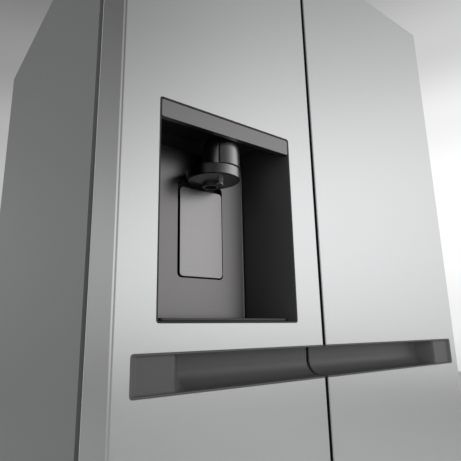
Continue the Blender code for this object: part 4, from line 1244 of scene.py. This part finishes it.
def tray_block(low, high, radius):
    """A block whose foot is drawn in a little."""
    bm = bmesh.new()
    rings = []
    for share in (0.0, 0.03, 1.0):
        inset = DRAUGHT * (1 - share) + (FOOT_INSET if share == 0 else 0)
        ring = rounded_ring((low.x + inset, low.y + inset), (high.x - inset, high.y - inset), radius, 5)
        rings.append(place_ring(bm, ring, "xy", low.z + (high.z - low.z) * share))
    stack(bm, rings)
    return bm


def open_tray(low, high, wall, radius=0.016, rim=0.004):
    """A drawer or bin with a rolled rim round its mouth."""
    inner_low = low + Vector((wall + rim, wall + rim, wall))
    inner_high = Vector((high.x - wall - rim, high.y - wall - rim, high.z + 0.001))
    body = tray_block(low + Vector((rim, rim, 0)), high - Vector((rim, rim, 0)), radius)
    cup = carve(body, tray_block(inner_low, inner_high, radius - wall))
    brim = slab((low.x, low.y, high.z - 0.006), high, radius + rim, 0.0018, "xy", 6)
    mouth = slab(inner_low.to_2d().to_3d() + Vector((0, 0, high.z - 0.02)), inner_high + Vector((0, 0, 0.02)),
                 radius - wall, 0.0002, "xy", 6)
    return merge(cup, carve(brim, mouth))


def grip(low, high):
    """A pull lip across a drawer's front, under its rim."""
    middle = (low.x + high.x) / 2
    return slab((middle - GRIP_HALF, low.y + 0.0002, high.z - 0.030),
                (middle + GRIP_HALF, low.y + 0.009, high.z - 0.005), 0.004, 0.002)


DRAWERS = (
    ("freezer_drawer_lower", "freezer_drawer_lower", WHITE, "white_plastic"),
    ("freezer_drawer_upper", "freezer_drawer_upper", WHITE, "white_plastic"),
    ("crisper_lower", "crisper_lower", CLEAR, "clear_plastic"),
    ("crisper_upper", "crisper_upper", CLEAR, "clear_plastic"),
    ("ice_drawer", "ice_bin", WHITE, "white_plastic"),
)
for body, solid, finish, slot in DRAWERS:
    low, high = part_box(solid)
    piece(f"{body}_tray", merge(open_tray(low, high, 0.003), grip(low, high)), finish, body, [solid],
          SOFT_EDGE)
BINS = ["left_door_bin_1", "left_door_bin_2", "right_door_bin_1", "right_door_bin_2", "right_door_bin_3"]
for name in BINS:
    low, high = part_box(name)
    piece(f"{name}_tray", open_tray(low, high, 0.0025, 0.020, 0.003), CLEAR, name, [name],
          SOFT_EDGE)
print(f"{len(DRAWERS)} drawers and {len(BINS)} door bins")

# %% [markdown]
# A shelf is a sheet of toughened glass in a moulded rim that is deeper at its
# front edge. The glass and the rim are separate pieces, because each has its
# own finish and the glass edge must show through the rim's opening.

# %% Frame the shelves
RIM_WIDTH = 0.014
GLASS_LAP = RIM_WIDTH * 0.6
SHELVES = ["freezer_shelf_1", "freezer_shelf_2", "fridge_shelf_1", "fridge_shelf_2", "crisper_cover"]
for name in SHELVES:
    low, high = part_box(name)
    sheet_low = Vector((low.x + GLASS_LAP, low.y + GLASS_LAP, high.z - 0.0065))
    sheet_high = Vector((high.x - GLASS_LAP, high.y - GLASS_LAP, high.z - 0.0025))
    piece(f"{name}_glass", slab(sheet_low, sheet_high, 0.004, 0.0006, "xy"), GLASS, "cabinet",
          [name])
    rim = slab((low.x, low.y, high.z - 0.009), high, 0.010, 0.002, "xy")
    mouth = slab((low.x + RIM_WIDTH, low.y + RIM_WIDTH, high.z - 0.02),
                 (high.x - RIM_WIDTH, high.y - RIM_WIDTH, high.z + 0.01), 0.005, 0.0002, "xy")
    front = slab(low, Vector((high.x, low.y + 0.010, high.z)), 0.004, 0.0015, "xz")
    piece(f"{name}_rim", merge(carve(rim, mouth), front), WHITE, "cabinet", (), FINE_EDGE)
print(f"{len(SHELVES)} framed shelves")

# %% [markdown]
# Cooling parts sit behind the machine cover and inside the freezer. The
# compressor is two pressed domes welded at a flange, the fans are hubs with
# twisted blades, and the lamps have ribbed lenses. Primitive shapes would
# read as toys here, so each is turned or swept from its own section.

# %% Press the compressor
low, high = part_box("compressor")
centre = Vector(((low.x + high.x) / 2, (low.y + high.y) / 2, 0))
size = min(high.x - low.x, high.y - low.y) / 2
middle = low.z + (high.z - low.z) * 0.55
profile = [(0, low.z), (size * 0.62, low.z), (size * 0.66, low.z + 0.010), (size * 0.70, low.z + 0.012)]
profile += [(size * (0.70 + 0.24 * math.sin(turn)),
             low.z + 0.012 + (middle - low.z - 0.016) * (1 - math.cos(turn)))
            for turn in (math.pi / 2 * i / 8 for i in range(1, 9))]
profile += [(size, middle - 0.003), (size, middle + 0.003), (size * 0.94, middle + 0.004)]
profile += [(size * 0.94 * math.cos(turn) ** 0.7, middle + 0.004 + (high.z - middle - 0.004) * math.sin(turn))
            for turn in (math.pi / 2 * i / 12 for i in range(1, 12))]
profile.append((0, high.z))
piece("pressed_compressor", turned(profile, centre, sides=72), BLACK, "cabinet",
      ["compressor"])
print(f"compressor {2000 * size:.0f} mm across")

# %% Twist the fan blades
BLADE_TURN = 48
BLADE_UNTWIST = 22
BLADE_HALF = 0.0009
BLADE_MARGIN = 0.0012


def fan(node_name, blades=5):
    """A domed hub with twisted blades, turning about y."""
    low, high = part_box(node_name)
    centre = (low + high) / 2
    reach = min(high.x - low.x, high.z - low.z) / 2 * 0.985
    half = (high.y - low.y) / 2
    hub = reach * 0.30
    bm = turned([(0, -half * 0.9), (hub, -half * 0.9), (hub, half * 0.5), (hub * 0.8, half * 0.85),
                 (0, half * 0.95)], centre, "y", 48)
    for blade in range(blades):
        start = 2 * math.pi * blade / blades
        rings = []
        for step in range(7):
            share = step / 6
            out = hub * 0.9 + (reach - hub * 0.9) * share
            pitch = math.radians(BLADE_TURN - BLADE_UNTWIST * share)
            wide = (0.36 + 0.16 * share) * reach * (1 - 0.25 * share ** 4)
            ring = []
            for side, thick in ((-1, -1), (0, -1), (1, -1), (1, 1), (0, 1), (-1, 1)):
                along = side * wide / 2
                turn = start + along * math.cos(pitch) / max(out, 0.001)
                depth = min(max(along * math.sin(pitch), BLADE_MARGIN - half), half - BLADE_MARGIN)
                depth += thick * BLADE_HALF
                ring.append(bm.verts.new((centre.x + out * math.cos(turn), centre.y + depth,
                                          centre.z + out * math.sin(turn))))
            rings.append(ring)
        stack(bm, rings)
    return bm


piece("condenser_rotor", fan("condenser_fan"), DARK, "condenser_blades", ["condenser_fan"])
piece("evaporator_rotor", fan("evaporator_fan"), WHITE, "evaporator_blades",
      ["evaporator_fan"])
print("two fan rotors")

# %% Rib the lamps and turn the filter
LAMP_RIB = 0.0075
LAMP_BORDER = 0.012
for name in ("light_freezer", "light_fridge"):
    low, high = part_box(name)
    ribs = [
        slab((low.x + LAMP_BORDER + i * LAMP_RIB, low.y + 0.008, low.z - 0.001),
             (low.x + LAMP_BORDER + 0.0015 + i * LAMP_RIB, high.y - 0.008, low.z + 0.0012), 0.0006, 0.0002,
             "xy")
        for i in range(int((high.x - low.x - 2 * LAMP_BORDER) / LAMP_RIB))
    ]
    piece(f"{name}_lens", carve(slab(low, high, 0.010, 0.003, "xy"), *ribs), LENS, "cabinet",
          [name], FINE_EDGE)
low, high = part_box("water_filter")
size = (high.x - low.x) / 2 * 0.96
length = high.y - low.y
centre = Vector(((low.x + high.x) / 2, low.y, (low.z + high.z) / 2))
profile = [(0, -0.0), (size * 0.80, -0.0), (size, -0.004), (size, -0.028), (size * 0.93, -0.030),
           (size * 0.93, -0.034)]
profile += [(size * 0.97, -0.036), (size * 0.97, 0.012 - length), (size * 0.7, 0.003 - length),
            (size * 0.35, -length), (0, -length)]
knob = slab((centre.x - size * 0.62, low.y + 0.0002, centre.z - 0.004),
            (centre.x + size * 0.62, low.y + 0.012, centre.z + 0.004), 0.003, 0.0015)
piece("filter_cartridge", merge(turned(profile, centre, "y", 64), knob), WHITE, "filter",
      ["water_filter"])
print("two ribbed lamps and a filter cartridge")


# %% [markdown]
# ## Finishing
#
# Some solids from the frame already have the right shape and only need their
# finish: the case is stoved grey, brackets are zinc, and the liners are white
# mouldings. Each one is named here with its finish. A loop over every
# node could guess the finish from its old material, but a plain list shows
# what each part is made of, and a missing name is found at once.

# %% Finish the carried-over parts
refinish(PAINT, "outer_case")
refinish(ZINC, "base_frame", "top_hinge_left", "top_hinge_right", "bottom_hinge_left",
         "bottom_hinge_right")
refinish(DARK, "power_gland", "centre_mullion")
refinish(RUBBER, "left_gasket", "right_gasket")
refinish(FOAM, "insulation_foam")
refinish(ALLOY, "condenser", "evaporator")
refinish(WHITE, "freezer_liner", "fridge_liner", "left_door_liner", "right_door_liner", "evaporator_cover",
         "ice_maker")
print(f"carried-over solids have their finish, of {len(NODES)} in the frame")

# %% [markdown]
# The size of the finished model must still be that of the frame.

# %% End
print("model finished")
